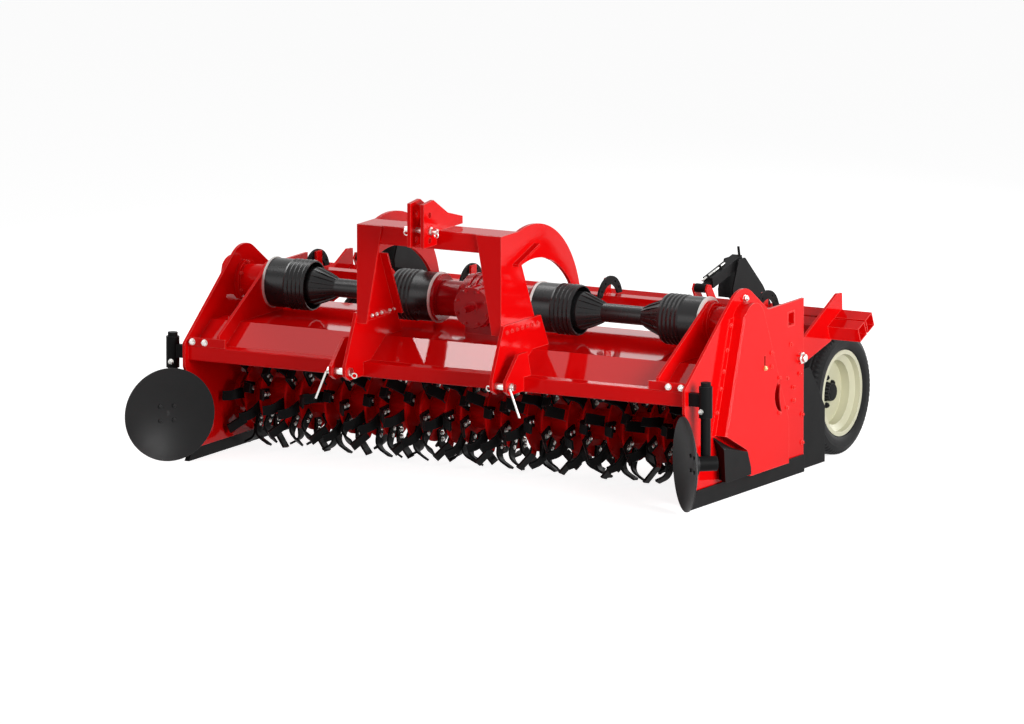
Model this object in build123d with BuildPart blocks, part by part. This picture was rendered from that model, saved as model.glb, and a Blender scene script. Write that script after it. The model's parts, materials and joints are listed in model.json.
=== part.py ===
from build123d import *
import os
from math import atan2, cos, hypot, radians, sin, tan

# Rotary bed former, three metres wide, for a tractor's three-point hitch.
# X runs across the machine, Y from the tractor backwards, Z up from the ground.
# Lengths are millimetres.  "back" below means the distance behind the front beam's front face.

# Width and sheet thicknesses
half_width = 1500.0          # inner faces of the side plates
plate_t = 15.0               # side plates
sheet_t = 8.0                # hood
fit_gap = 0.3                # running gap of a shaft in its bore
move_gap = 8.0               # least room beside a moving piece

# Front beam, a square hollow section
beam_size = 80.0
beam_wall = 8.0
beam_bottom = 549.0
beam_top = beam_bottom + beam_size

# Hood: slope behind the beam, level deck, slope down at the back
hood_front_back = 250.0
deck_z = 735.0
deck_end_back = 1030.0
hood_rear_back = 1120.0
hood_rear_z = 560.0

# Drive line above the deck
drive_back = 615.0
drive_z = 895.0

# Rotor
rotor_back = 600.0
rotor_z = 296.0
rotor_r = 290.0
rotor_tube_r = 84.0
rotor_stub_r = 40.0
rotor_stub_step = 28.0
flange_r = 178.0
flange_t = 14.0
flange_pitch = 244.0         # from one pair of flanges to the next
rotor_end_room = 156.0       # least room from the last pair to the side plate
pair_count = int(2 * (half_width - rotor_end_room) / flange_pitch) + 1
flange_gap = 92.0            # between the two flanges of a pair, middle to middle
flange_start = 38.0          # turn of the first pair
flange_twist = 4.0           # turn from each pair to the next
blade_count = 8              # on each pair, to both sides by turns
blade_t = 12.0
blade_w = 58.0
blade_foot = 65.0            # how far the foot runs sideways
blade_bend = 36.0            # the foot's lean from the shank
blade_root_r = 112.0
bearing_r = 96.0
bearing_t = 30.0

# Side plates
plate_front_back = -36.0
plate_rear_back = 1315.0
plate_bottom = 62.0
plate_top_z = 936.0
plate_chin_z = 520.0
plate_nose_z = 648.0
crown_r = 195.0
notch_back = 40.0

# Chain case covers outside the side plates
cover_depth = 72.0
cover_wall = 6.0
cover_crown_r = 125.0
cover_chamfer = 10.0
cover_flange_w = 46.0
cover_bottom = 98.0
guard_step = 8.0

# Skids and rear wing plates
skid_h = 92.0
skid_t = 14.0
skid_front_back = 4.0
skid_nose = 78.0             # how far the skid's front edge slopes back
skid_rear_back = 1300.0
wing_t = 12.0
wing_rear_back = 1568.0
wing_top_z = 545.0
wing_end_z = 310.0
wing_bottom = 10.0
splice_t = 10.0
splice_w = 80.0

# Headstock
stock_half = 434.0
stock_front_back = -70.0
stock_depth = 200.0
stock_top = 1383.0
stock_h = 100.0
stock_foot_z = 850.0
cheek_t = 18.0
face_t = 12.0
face_top_w = 150.0
face_foot_w = 56.0
strip_w = 44.0

# Three-point hitch
ear_t = 18.0
ear_gap = 64.0
hitch_back = -154.0
hitch_z = 600.0
hitch_pin_r = 18.25
ear_nose_r = 46.0
link_gap = 60.0
link_ear_t = 20.0
link_front_back = -216.0
link_pin_back = -150.0
link_pin_z = 1395.0
link_pin_r = 15.75

# Gearbox and input shaft
case_r = 142.0
case_half = 118.0
trumpet_r = 96.0
flange_end = 300.0
case_flange_r = 128.0
nose_r = 108.0
nose_back = 405.0
pto_r = 17.45
pto_len = 95.0

# Shaft guards
bell_r = 132.0
bell_wall = 6.0
bell_smooth = 112.0
rib_count = 5
rib_pitch = 25.0
rib_h = 5.0
cone_len = 140.0
tube_r = 50.0
ring_w = 12.0
ring_r = 137.0

# Bearing braces beside the drive line
brace_inset = 182.0
brace_half = half_width - brace_inset
brace_t = 16.0
brace_r = 118.0
housing_r = 88.0
housing_flange_r = 108.0
housing_flange_t = 22.0

# Rear cross tube through the side plates, with quadrants
cross_size = 80.0
cross_wall = 8.0
cross_back = 1132.0
cross_bottom = 805.0
quadrant_r = 140.0
quadrant_band = 46.0
quadrant_t = 12.0
quadrant_x = (402.0, half_width - 151.0)
lug_t = 12.0
lug_w = 60.0

# Ridging discs
disc_half = half_width + 52.0
disc_back = -111.0
disc_z = 267.0
disc_r = 252.0
disc_turn = 48.0
disc_dish = 46.0
disc_t = 6.0
disc_hub_r = 40.0
disc_hub_len = 100.0
disc_stub_r = 20.0
shank_half = half_width + 108.0
shank_back = 23.0
sleeve_r = 36.0
shank_r = 27.0
sleeve_top = 668.0
sleeve_bottom = 500.0
shank_top = 690.0
arm_z = 592.0
arm_h = 70.0

# Wheel frame, hinged on the side plates
pivot_back = 1275.0
pivot_z = 618.0
pivot_pin_r = 20.0
pivot_eye_r = 48.0
swing_t = 16.0
swing_gap = 1.0              # room between swing plate and side plate
swing_half = half_width - swing_gap - swing_t
frame_tilt = 23.0
frame_tube = 80.0
frame_tube_wall = 6.0
frame_tube_gap = 14.0
frame_half = half_width + 181.0
frame_corner = (1621.0, 731.0)   # upper front edge of the tube pair: back, height

# Wheels
wheel_mid = half_width - 105.0
wheel_back = 1840.0
tyre_r = 335.0
tyre_w = 190.0
rim_r = 232.0
rim_w = 160.0
wheel_hub_r = 46.0
spindle_r = 24.0
leg_half = wheel_mid - 165.0
leg_size = 70.0

# Screw jacks
jack_inset = 472.0
jack_half = half_width - jack_inset
jack_foot = (1070.0, 985.0)      # pin on the cross tube: back, height
jack_head = (1440.0, 1066.0)     # pin on the tower
jack_size = 58.0
jack_front = 80.0                # from the foot pin to the body's mouth
jack_tail = 46.0                 # body's length behind the head pin
jack_rod_r = 17.0
jack_eye_r = 24.0
jack_pin_r = 12.0
jack_eye_play = 4.0
tower_t = 10.0

# The origin is on the ground in the middle of the machine's length
disc_front = disc_back - disc_r * sin(radians(disc_turn))
front_y = -(wheel_back + tyre_r + disc_front) / 2
wheel_z = tyre_r
sides = (("left", -1), ("right", 1))

os.makedirs("parts", exist_ok=True)


def side_plane(x):
    # upright plane across the machine at x: its own axes are back and up
    return Plane(origin=(x, front_y, 0), x_dir=(0, 1, 0), z_dir=(1, 0, 0))


def axis_plane(x, back, z):
    # plane for a revolve about an axis along X through the given point: its axes are X and radius
    return Plane(origin=(x, front_y + back, z), x_dir=(1, 0, 0), z_dir=(0, -1, 0))


def save(piece, name):
    piece.part.label = name
    export_step(piece.part, f"parts/{name}.step")


# Front beam: hollow section between the side plates
with BuildPart() as front_beam:
    with BuildSketch(side_plane(-half_width)):
        with Locations((beam_size / 2, beam_bottom + beam_size / 2)):
            RectangleRounded(beam_size, beam_size, beam_wall)
            RectangleRounded(beam_size - 2 * beam_wall, beam_size - 2 * beam_wall, beam_wall / 2,
                             mode=Mode.SUBTRACT)
    extrude(amount=2 * half_width)
save(front_beam, "front_beam")

# Hood: one bent sheet between the side plates
with BuildPart() as hood:
    with BuildSketch(side_plane(-half_width)):
        with BuildLine():
            Polyline((beam_size, beam_top - sheet_t), (beam_size, beam_top),
                     (hood_front_back, deck_z), (deck_end_back, deck_z), (hood_rear_back, hood_rear_z),
                     (hood_rear_back - sheet_t, hood_rear_z),
                     (deck_end_back - sheet_t, deck_z - sheet_t),
                     (hood_front_back + sheet_t / 2, deck_z - sheet_t), close=True)
        make_face()
    extrude(amount=2 * half_width)
save(hood, "hood")

# Side plates: crown round the drive shaft, notch behind the disc, holes for tube, rotor and shaft
notch_back_end = skid_front_back + skid_nose * plate_bottom / skid_h
plate_notch = ((plate_front_back, plate_chin_z), (notch_back, disc_z + disc_r / 2),
               (notch_back, disc_z - disc_r / 2), (notch_back_end, plate_bottom))
crown_front = radians(129.0)      # where the front slope meets the crown
crown_rear = radians(57.0)        # where the rear slope leaves it


def crown_point(angle, radius):
    return (drive_back + radius * cos(angle), drive_z + radius * sin(angle))


rear_drop = (crown_point(crown_rear, crown_r)[1] - plate_top_z) * tan(crown_rear)
plate_saddle_back = crown_point(crown_rear, crown_r)[0] + rear_drop
for name, s in sides:
    with BuildPart() as side_plate:
        with BuildSketch(side_plane(s * half_width)):
            with BuildLine():
                Polyline(plate_notch[-1], *plate_notch[-2::-1], (plate_front_back, plate_nose_z),
                         crown_point(crown_front, crown_r))
                ThreePointArc(crown_point(crown_front, crown_r), crown_point(radians(90), crown_r),
                              crown_point(crown_rear, crown_r))
                Polyline(crown_point(crown_rear, crown_r), (plate_saddle_back, plate_top_z),
                         (plate_rear_back, plate_top_z), (plate_rear_back, plate_bottom), plate_notch[-1])
            make_face()
            with Locations((cross_back + cross_size / 2, cross_bottom + cross_size / 2)):
                Rectangle(cross_size, cross_size, mode=Mode.SUBTRACT)
            with Locations((rotor_back, rotor_z)):
                Circle(rotor_stub_r + rotor_stub_step, mode=Mode.SUBTRACT)
            with Locations((pivot_back, pivot_z)):
                Circle(pivot_pin_r + fit_gap, mode=Mode.SUBTRACT)
        extrude(amount=s * plate_t)
    save(side_plate, f"side_plate_{name}")

# Chain case covers: hollow pressings, open towards the side plate
cover_front_top = crown_point(radians(152), cover_crown_r)
cover_rear_top = crown_point(radians(28), cover_crown_r)
cover_front = 300.0
cover_rear = 1010.0
cover_foot = ((cover_front, 352.0), (530.0, 246.0), (572.0, 150.0), (572.0, cover_bottom),
              (cover_rear, cover_bottom), (cover_rear, 330.0))
crescent_back = 930.0
crescent_z = 480.0
crescent_half = 95.0
slit_back = 733.0
slit_z = 692.0
slit_len = 52.0
slit_w = 16.0
for name, s in sides:
    shells = []
    for inset in (cover_wall, 0.0):
        with BuildPart() as shell:
            with BuildSketch(side_plane(s * (half_width + plate_t))):
                with BuildLine():
                    Polyline(cover_front_top, *cover_foot, cover_rear_top)
                    ThreePointArc(cover_rear_top, crown_point(radians(90), cover_crown_r), cover_front_top)
                make_face()
                if inset:
                    offset(amount=-inset, kind=Kind.INTERSECTION, mode=Mode.REPLACE)
            extrude(amount=s * (cover_depth - inset))
            outer = shell.faces().sort_by(Axis.X)[-1 if s > 0 else 0]
            chamfer(outer.edges().filter_by(GeomType.LINE).sort_by(Axis.Y)[:1], cover_chamfer)
        shells.append(shell.part)
    with BuildPart() as side_cover:
        add(shells[1])
        add(shells[0], mode=Mode.SUBTRACT)
        with BuildSketch(side_plane(s * (half_width + plate_t + cover_depth - 2 * cover_wall))):
            with BuildLine():
                ThreePointArc((crescent_back, crescent_z + crescent_half), (crescent_back - 83, crescent_z),
                              (crescent_back, crescent_z - crescent_half))
                ThreePointArc((crescent_back, crescent_z - crescent_half), (crescent_back - 26, crescent_z),
                              (crescent_back, crescent_z + crescent_half))
            make_face()
            with Locations((slit_back, slit_z)):
                Rectangle(slit_w, slit_len)
        extrude(amount=s * 3 * cover_wall, mode=Mode.SUBTRACT)
        with BuildSketch(side_plane(s * (half_width + plate_t))):
            with BuildLine():
                Polyline(cover_front_top, cover_foot[0], (cover_foot[0][0] - cover_flange_w, cover_foot[0][1]),
                         (cover_front_top[0] - cover_flange_w, cover_front_top[1]), close=True)
            make_face()
        extrude(amount=s * cover_wall)
    save(side_cover, f"side_cover_{name}")

# Wear guards at the front foot of the covers: the front face leans outwards
guard_inner = ((281.0, 345.0), (313.0, 281.0), (352.0, 138.0), (352.0, 110.0), (564.0, 110.0), (564.0, 146.0),
               (524.0, 238.0), (300.0, 341.0))
guard_outer = ((256.0, 290.0), (262.0, 240.0), (272.0, 138.0), (276.0, 110.0), (564.0, 110.0), (564.0, 146.0),
               (524.0, 238.0), (300.0, 285.0))
guard_depths = (half_width + plate_t, half_width + plate_t + cover_depth + guard_step)
with BuildPart() as case_guards:
    for name, s in sides:
        with BuildPart(mode=Mode.PRIVATE) as guard:
            for outline, x in zip((guard_inner, guard_outer), guard_depths):
                with BuildSketch(side_plane(s * x)):
                    with BuildLine():
                        Polyline(*outline, close=True)
                    make_face()
            loft(ruled=True)
        with BuildPart(mode=Mode.PRIVATE) as cover_block:
            with BuildSketch(side_plane(s * guard_depths[0])):
                with BuildLine():
                    Polyline(cover_front_top, *cover_foot, cover_rear_top, close=True)
                make_face()
            extrude(amount=s * (cover_depth + 2 * guard_step))
        add(guard.part - cover_block.part)
save(case_guards, "case_guards")

# Skids along the foot of the side plates: the machine rests on them
with BuildPart() as skids:
    for name, s in sides:
        with BuildSketch(side_plane(s * (half_width + plate_t))):
            with BuildLine():
                Polyline((skid_front_back, 0), (skid_rear_back, 0), (skid_rear_back, skid_h),
                         (skid_front_back + skid_nose, skid_h), close=True)
            make_face()
        extrude(amount=s * skid_t)
        with BuildSketch(side_plane(s * half_width)):
            with BuildLine():
                Polyline((skid_front_back, 0), (skid_rear_back, 0), (skid_rear_back, plate_bottom),
                         plate_notch[-1], close=True)
            make_face()
        extrude(amount=s * plate_t)
save(skids, "skids")

# Wing plates that carry the side walls on behind, each with a splice strip inside the joint
with BuildPart() as wing_plates:
    for name, s in sides:
        with BuildSketch(side_plane(s * half_width)):
            with BuildLine():
                Polyline((plate_rear_back, wing_bottom), (wing_rear_back, wing_bottom),
                         (wing_rear_back, wing_end_z), (plate_rear_back + splice_w, wing_top_z),
                         (plate_rear_back, wing_top_z), close=True)
            make_face()
        extrude(amount=s * wing_t)
        with BuildSketch(side_plane(s * half_width)):
            with Locations((plate_rear_back, (plate_bottom + wing_top_z) / 2)):
                Rectangle(2 * splice_w, wing_top_z - plate_bottom - move_gap)
        extrude(amount=-s * splice_t)
save(wing_plates, "wing_plates")

# Headstock: two open legs, each with its stay arm in one plate, and a hollow top beam
leg_rear_top = (161.0, 1197.0)
leg_rear_foot = (328.0, stock_foot_z)
arm_start = (stock_front_back + stock_depth, stock_top)
arm_top_outer = (470.0, 1362.0)
arm_end_outer = (812.0, 985.0)
arm_end_inner = (702.0, 1030.0)
arm_foot = ((850.0, deck_z), (775.0, deck_z), (770.0, 930.0))
arm_top_inner = (480.0, 1180.0)
gusset_mid = (180.0, 1250.0)      # middle of the bar on the outer face
gusset_len = 250.0
gusset_lean = 18.0
gusset_t = 14.0
gusset_h = 34.0
for name, s in sides:
    with BuildPart() as headstock:
        with BuildSketch(side_plane(s * stock_half)):
            with BuildLine():
                Polyline((stock_front_back, stock_foot_z), (stock_front_back, stock_top), arm_start)
                ThreePointArc(arm_start, arm_top_outer, arm_end_outer)
                Polyline(arm_end_outer, *arm_foot, arm_end_inner)
                ThreePointArc(arm_end_inner, arm_top_inner, leg_rear_top)
                Polyline(leg_rear_top, leg_rear_foot, (stock_front_back, stock_foot_z))
            make_face()
        extrude(amount=-s * cheek_t)
        with BuildSketch(Plane.XZ.offset(-front_y - stock_front_back)):
            with BuildLine():
                Polyline((s * stock_half, stock_foot_z), (s * stock_half, stock_top),
                         (s * (stock_half - face_top_w), stock_top),
                         (s * (stock_half - face_foot_w), stock_foot_z), close=True)
            make_face()
        extrude(amount=-face_t)
        with BuildSketch(side_plane(s * (stock_half - cheek_t))):
            with BuildLine():
                Polyline(leg_rear_top, leg_rear_foot, (leg_rear_foot[0] - face_t, leg_rear_foot[1]),
                         (leg_rear_top[0] - face_t, leg_rear_top[1]), close=True)
            make_face()
        extrude(amount=-s * strip_w)
        with BuildSketch(side_plane(s * stock_half)):
            with Locations(Location(gusset_mid, gusset_lean)):
                Rectangle(gusset_len, gusset_t)
        extrude(amount=s * gusset_h)
    save(headstock, f"headstock_{name}")

stock_inner = stock_half - cheek_t
with BuildPart() as headstock_beam:
    with BuildSketch(side_plane(-stock_inner)):
        with Locations((stock_front_back + face_t + (stock_depth - face_t) / 2, stock_top - stock_h / 2)):
            RectangleRounded(stock_depth - face_t, stock_h, beam_wall)
            RectangleRounded(stock_depth - face_t - 2 * beam_wall, stock_h - 2 * beam_wall, beam_wall / 2,
                             mode=Mode.SUBTRACT)
    extrude(amount=2 * stock_inner)
save(headstock_beam, "headstock_beam")

# Hitch ears: tall inner ear bolted to the leg, short outer ear, pin between them
inner_ear = ((stock_front_back, 905.0), (340.0, 905.0), (430.0, deck_z), (hood_front_back, deck_z),
             (beam_size, beam_top), (0.0, beam_top), (0.0, beam_bottom + 8))
outer_ear = ((-60.0, 760.0), (40.0, 760.0), (beam_size, beam_top), (0.0, beam_top), (0.0, beam_bottom + 8))
for name, s in sides:
    with BuildPart() as hitch_ears:
        for outline, x in ((inner_ear, stock_half), (outer_ear, stock_half + ear_t + ear_gap)):
            with BuildSketch(side_plane(s * x)):
                with BuildLine():
                    Polyline(*outline, (hitch_back, hitch_z - ear_nose_r), (hitch_back - 40, hitch_z - 22),
                             (hitch_back - ear_nose_r, hitch_z), (hitch_back - ear_nose_r, hitch_z + 30),
                             close=True)
                make_face()
                with Locations((hitch_back, hitch_z)):
                    Circle(hitch_pin_r + fit_gap, mode=Mode.SUBTRACT)
            extrude(amount=s * ear_t)
    save(hitch_ears, f"hitch_ears_{name}")

# Lower link pins, each with a round head and a bent handle
pin_head_r = 24.0
pin_head_t = 12.0
handle_r = 6.0
handle_gap = 8.0             # from the head to the handle
handle_reach = 38.0          # bend and end of the handle ahead of the pin
handle_end = 44.0
handle_dip = 4.0
handle_lean = 60.0
handle_drop = 150.0
pin_span = 2 * ear_t + ear_gap
with BuildPart() as hitch_pins:
    for name, s in sides:
        with BuildSketch(side_plane(s * (stock_half - fit_gap - pin_head_t))):
            with Locations((hitch_back, hitch_z)):
                Circle(hitch_pin_r)
        extrude(amount=s * (pin_span + 2 * fit_gap + 2 * pin_head_t + 16))
        for x in (stock_half - fit_gap - pin_head_t, stock_half + pin_span + fit_gap):
            with BuildSketch(side_plane(s * x)):
                with Locations((hitch_back, hitch_z)):
                    Circle(pin_head_r)
            extrude(amount=s * pin_head_t)
        handle_x = s * (stock_half + pin_span + fit_gap + pin_head_t + handle_gap)
        with BuildLine() as handle_path:
            Polyline((handle_x, front_y + hitch_back, hitch_z),
                     (handle_x, front_y + hitch_back - handle_reach, hitch_z - handle_dip),
                     (handle_x + s * handle_lean, front_y + hitch_back - handle_end, hitch_z - handle_drop))
        with BuildSketch(Plane(handle_path.line @ 0, z_dir=handle_path.line % 0)):
            Circle(handle_r)
        sweep(transition=Transition.ROUND)
save(hitch_pins, "hitch_pins")

# Top link ears and pin
link_outline = ((link_front_back, 1311.0), (link_front_back, 1545.0), (-108.0, 1556.0), (50.0, 1466.0),
                (214.0, 1424.0), (214.0, stock_top), (stock_front_back, stock_top), (stock_front_back, 1311.0))
link_hole_z = (1345.0, 1480.0)
with BuildPart() as top_link_ears:
    for name, s in sides:
        with BuildSketch(side_plane(s * link_gap / 2)):
            with BuildLine():
                Polyline(*link_outline, close=True)
            make_face()
            with Locations((link_pin_back, link_pin_z)):
                Circle(link_pin_r + fit_gap, mode=Mode.SUBTRACT)
            for z in link_hole_z:
                with Locations((link_pin_back, z)):
                    Circle(link_pin_r, mode=Mode.SUBTRACT)
        extrude(amount=s * link_ear_t)
save(top_link_ears, "top_link_ears")

link_pin_half = link_gap / 2 + link_ear_t + fit_gap
with BuildPart() as top_link_pin:
    with BuildSketch(side_plane(-link_pin_half - 46)):
        with Locations((link_pin_back, link_pin_z)):
            Circle(link_pin_r)
    extrude(amount=2 * link_pin_half + 92)
    for x in (-link_pin_half - 10, link_pin_half):
        with BuildSketch(side_plane(x)):
            with Locations((link_pin_back, link_pin_z)):
                Circle(link_pin_r + 7)
        extrude(amount=10)
save(top_link_pin, "top_link_pin")

# Gearbox: ribbed case across the machine, nose and input shaft towards the tractor, foot on the deck
drive_axis = Axis((0, front_y + drive_back, drive_z), (1, 0, 0))
case_flange_t = 18.0
case_taper = 40.0
fin_count = 5
fin_pitch = 38.0
fin_t = 12.0
fin_h = 9.0
with BuildPart() as gearbox:
    with BuildSketch(axis_plane(0, drive_back, drive_z)):
        with BuildLine():
            Polyline((-flange_end, 0), (-flange_end, case_flange_r),
                     (-flange_end + case_flange_t, case_flange_r),
                     (-flange_end + case_flange_t, trumpet_r), (-case_half - case_taper, trumpet_r),
                     (-case_half, case_r), (case_half, case_r), (case_half + case_taper, trumpet_r),
                     (flange_end - case_flange_t, trumpet_r), (flange_end - case_flange_t, case_flange_r),
                     (flange_end, case_flange_r), (flange_end, 0), close=True)
        make_face()
        for i in range(fin_count):
            with Locations(((i - (fin_count - 1) / 2) * fin_pitch, (case_r + fin_h) / 2)):
                Rectangle(fin_t, case_r + fin_h)
    revolve(axis=drive_axis)
    with BuildSketch(Plane(origin=(0, front_y + nose_back, drive_z), x_dir=(1, 0, 0), z_dir=(0, 1, 0))):
        Circle(nose_r)
    extrude(amount=drive_back - nose_back)
    with BuildSketch(Plane(origin=(0, front_y + nose_back, drive_z), x_dir=(1, 0, 0), z_dir=(0, 1, 0))):
        Circle(pto_r)
    extrude(amount=-pto_len)
    with Locations((0, front_y + drive_back, (deck_z + drive_z) / 2)):
        Box(1.7 * case_half, 1.4 * case_r, drive_z - deck_z)
save(gearbox, "gearbox")

# Shaft guards: a bell at each end, ribbed towards its mouth, with a cone inside it and a tube between
bell_len = bell_smooth + rib_count * rib_pitch
cone_r = 100.0
cone_step = 16.0
guard_start = flange_end + ring_w
guard_end = brace_half - ring_w


def bell_outline(start, way):
    # half section of one bell from its closed end to the foot of its cone, as (x, radius)
    ribs = []
    for i in range(rib_count):
        x = start + way * (bell_smooth + i * rib_pitch)
        ribs += [(x, bell_r), (x + way * rib_pitch * 0.4, bell_r + rib_h)]
    mouth = start + way * bell_len
    return [(start, 0), (start, bell_r), *ribs, (mouth, bell_r), (mouth, bell_r - bell_wall),
            (start + way * bell_wall, bell_r - bell_wall), (start + way * bell_wall, cone_r),
            (mouth + way * cone_step, cone_r), (mouth + way * cone_len, tube_r)]


for name, s in sides:
    with BuildPart() as shaft_guard:
        with BuildSketch(axis_plane(0, drive_back, drive_z)):
            with BuildLine():
                Polyline(*bell_outline(s * guard_start, s), *bell_outline(s * guard_end, -s)[::-1], close=True)
            make_face()
        revolve(axis=drive_axis)
    save(shaft_guard, f"shaft_guard_{name}")

# Pale rings between the bells and what carries them
with BuildPart() as guard_rings:
    for name, s in sides:
        for x in (flange_end, guard_end):
            ring_middle = (s * x, front_y + drive_back, drive_z)
            with BuildSketch(Plane(origin=ring_middle, x_dir=(0, 1, 0), z_dir=(s, 0, 0))):
                Circle(ring_r)
                Circle(cone_r, mode=Mode.SUBTRACT)
            extrude(amount=ring_w)
save(guard_rings, "guard_rings")

# Bearing braces: plates from the front beam up to the shaft's outer end, each with an upright foot on the beam
brace_nose_z = 692.0
foot_len = 222.0
foot_t = 14.0
foot_h = 46.0
with BuildPart() as bearing_braces:
    for name, s in sides:
        with BuildSketch(side_plane(s * brace_half)):
            with BuildLine():
                Polyline((foot_t, beam_top), (foot_t, brace_nose_z),
                         crown_point(radians(124), brace_r))
                ThreePointArc(crown_point(radians(124), brace_r), crown_point(radians(50), brace_r),
                              crown_point(radians(-20), brace_r))
                Polyline(crown_point(radians(-20), brace_r), (drive_back + brace_r - 20, deck_z),
                         (hood_front_back, deck_z), (beam_size, beam_top), (foot_t, beam_top))
            make_face()
        extrude(amount=s * brace_t)
        with BuildSketch(side_plane(s * half_width)):
            with Locations((foot_t / 2, beam_top + foot_h / 2)):
                Rectangle(foot_t, foot_h)
        extrude(amount=-s * foot_len)
save(bearing_braces, "bearing_braces")

# Shaft bearing housings between brace and side plate
with BuildPart() as bearing_housings:
    for name, s in sides:
        with BuildSketch(axis_plane(0, drive_back, drive_z)):
            with BuildLine():
                Polyline((s * (brace_half + brace_t), 0), (s * (brace_half + brace_t), housing_flange_r),
                         (s * (brace_half + brace_t + housing_flange_t), housing_flange_r),
                         (s * (brace_half + brace_t + housing_flange_t), housing_r),
                         (s * (half_width - housing_flange_t), housing_r),
                         (s * (half_width - housing_flange_t), housing_flange_r),
                         (s * half_width, housing_flange_r), (s * half_width, 0), close=True)
            make_face()
        revolve(axis=drive_axis)
save(bearing_housings, "bearing_housings")

# Rear cross tube with its lugs: one beside each quadrant, two at each jack's foot pin
cross_mid = (cross_back + cross_size / 2, cross_bottom + cross_size / 2)
cross_top = cross_bottom + cross_size
lug_top = cross_mid[1] + quadrant_r - 8
jack_lug_gap = 70.0
jack_lug_t = 10.0
with BuildPart() as rear_cross_tube:
    with BuildSketch(side_plane(-half_width - plate_t)):
        with Locations(cross_mid):
            Rectangle(cross_size, cross_size)
            Rectangle(cross_size - 2 * cross_wall, cross_size - 2 * cross_wall, mode=Mode.SUBTRACT)
    extrude(amount=2 * (half_width + plate_t))
    for name, s in sides:
        for x in quadrant_x:
            with BuildSketch(side_plane(s * x)):
                with Locations((cross_mid[0], (cross_top + lug_top) / 2)):
                    Rectangle(lug_w, lug_top - cross_top)
            extrude(amount=s * lug_t)
        for x in (jack_half - jack_lug_gap / 2 - jack_lug_t, jack_half + jack_lug_gap / 2):
            with BuildSketch(side_plane(s * x)):
                with BuildLine():
                    Polyline((cross_back, cross_bottom + 20), (cross_back, cross_top),
                             (cross_back + 50, cross_top),
                             (jack_foot[0] + 26, jack_foot[1] + 16), (jack_foot[0] - 8, jack_foot[1] + 24),
                             (jack_foot[0] - 26, jack_foot[1] - 4), close=True)
                make_face()
            extrude(amount=s * jack_lug_t)
        with BuildSketch(side_plane(s * (jack_half - jack_lug_gap / 2))):
            with Locations(jack_foot):
                Circle(jack_pin_r)
        extrude(amount=s * jack_lug_gap)
save(rear_cross_tube, "rear_cross_tube")

# Quadrants: drilled arcs bolted to the lugs
quadrant_low = radians(14)
hole_r = 8.0
with BuildPart() as quadrants:
    for name, s in sides:
        for x in quadrant_x:
            with BuildSketch(side_plane(s * (x + lug_t))):
                with Locations(cross_mid):
                    Circle(quadrant_r)
                    Circle(quadrant_r - quadrant_band, mode=Mode.SUBTRACT)
                with Locations((cross_mid[0], cross_mid[1] + quadrant_r * sin(quadrant_low) - quadrant_r)):
                    Rectangle(2 * quadrant_r, 2 * quadrant_r, mode=Mode.SUBTRACT)
                for angle in (35, 62, 118, 145):
                    reach = quadrant_r - quadrant_band / 2
                    with Locations((cross_mid[0] + reach * cos(radians(angle)),
                                    cross_mid[1] + reach * sin(radians(angle)))):
                        Circle(hole_r, mode=Mode.SUBTRACT)
            extrude(amount=s * quadrant_t)
save(quadrants, "quadrants")

# Rotor: tube with stub shafts, pairs of flanges, bent blades on the outer faces of each pair
rotor_place = (0, front_y + rotor_back, rotor_z)
bend = radians(blade_bend)
bend_r = rotor_r - blade_foot / tan(bend)
blade_seat = (flange_gap + flange_t) / 2
with BuildPart() as spider:
    with BuildSketch(Plane.YZ.offset(-blade_seat)):
        Circle(rotor_tube_r)
    extrude(amount=2 * blade_seat)
    for face in (-1, 1):
        with BuildSketch(Plane.YZ.offset(face * flange_gap / 2)):
            Circle(flange_r)
        extrude(amount=flange_t / 2, both=True)
    for i in range(blade_count):
        face = 1 if i % 2 else -1
        turned = Plane.XZ.rotated((i * 360 / blade_count, 0, 0))
        with BuildSketch(turned):
            with BuildLine():
                Polyline((face * blade_seat, blade_root_r), (face * blade_seat, bend_r),
                         (face * (blade_seat + blade_foot), rotor_r),
                         (face * (blade_seat + blade_foot + blade_t * cos(bend)),
                          rotor_r - blade_t * sin(bend)),
                         (face * (blade_seat + blade_t), bend_r - blade_t * tan(bend / 2)),
                         (face * (blade_seat + blade_t), blade_root_r), close=True)
            make_face()
        extrude(amount=blade_w / 2, both=True)

tube_half = half_width - bearing_t - move_gap
stub_half = half_width + plate_t / 2
with BuildPart() as rotor:
    with BuildSketch(Plane.YZ.offset(-stub_half)):
        Circle(rotor_stub_r)
    extrude(amount=2 * stub_half)
    with BuildSketch(Plane.YZ.offset(-tube_half)):
        Circle(rotor_tube_r)
    extrude(amount=2 * tube_half)
    for i in range(pair_count):
        x = (i - (pair_count - 1) / 2) * flange_pitch
        add(spider.part.moved(Location((x, 0, 0), (flange_start + i * flange_twist, 0, 0))))
rotor.part = rotor.part.moved(Location(rotor_place))
save(rotor, "rotor")

# Rotor bearings on the inner faces of the side plates
with BuildPart() as rotor_bearings:
    for name, s in sides:
        with BuildSketch(side_plane(s * half_width)):
            with Locations((rotor_back, rotor_z)):
                Circle(bearing_r)
                Circle(rotor_stub_r + fit_gap, mode=Mode.SUBTRACT)
        extrude(amount=-s * bearing_t)
save(rotor_bearings, "rotor_bearings")

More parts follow.
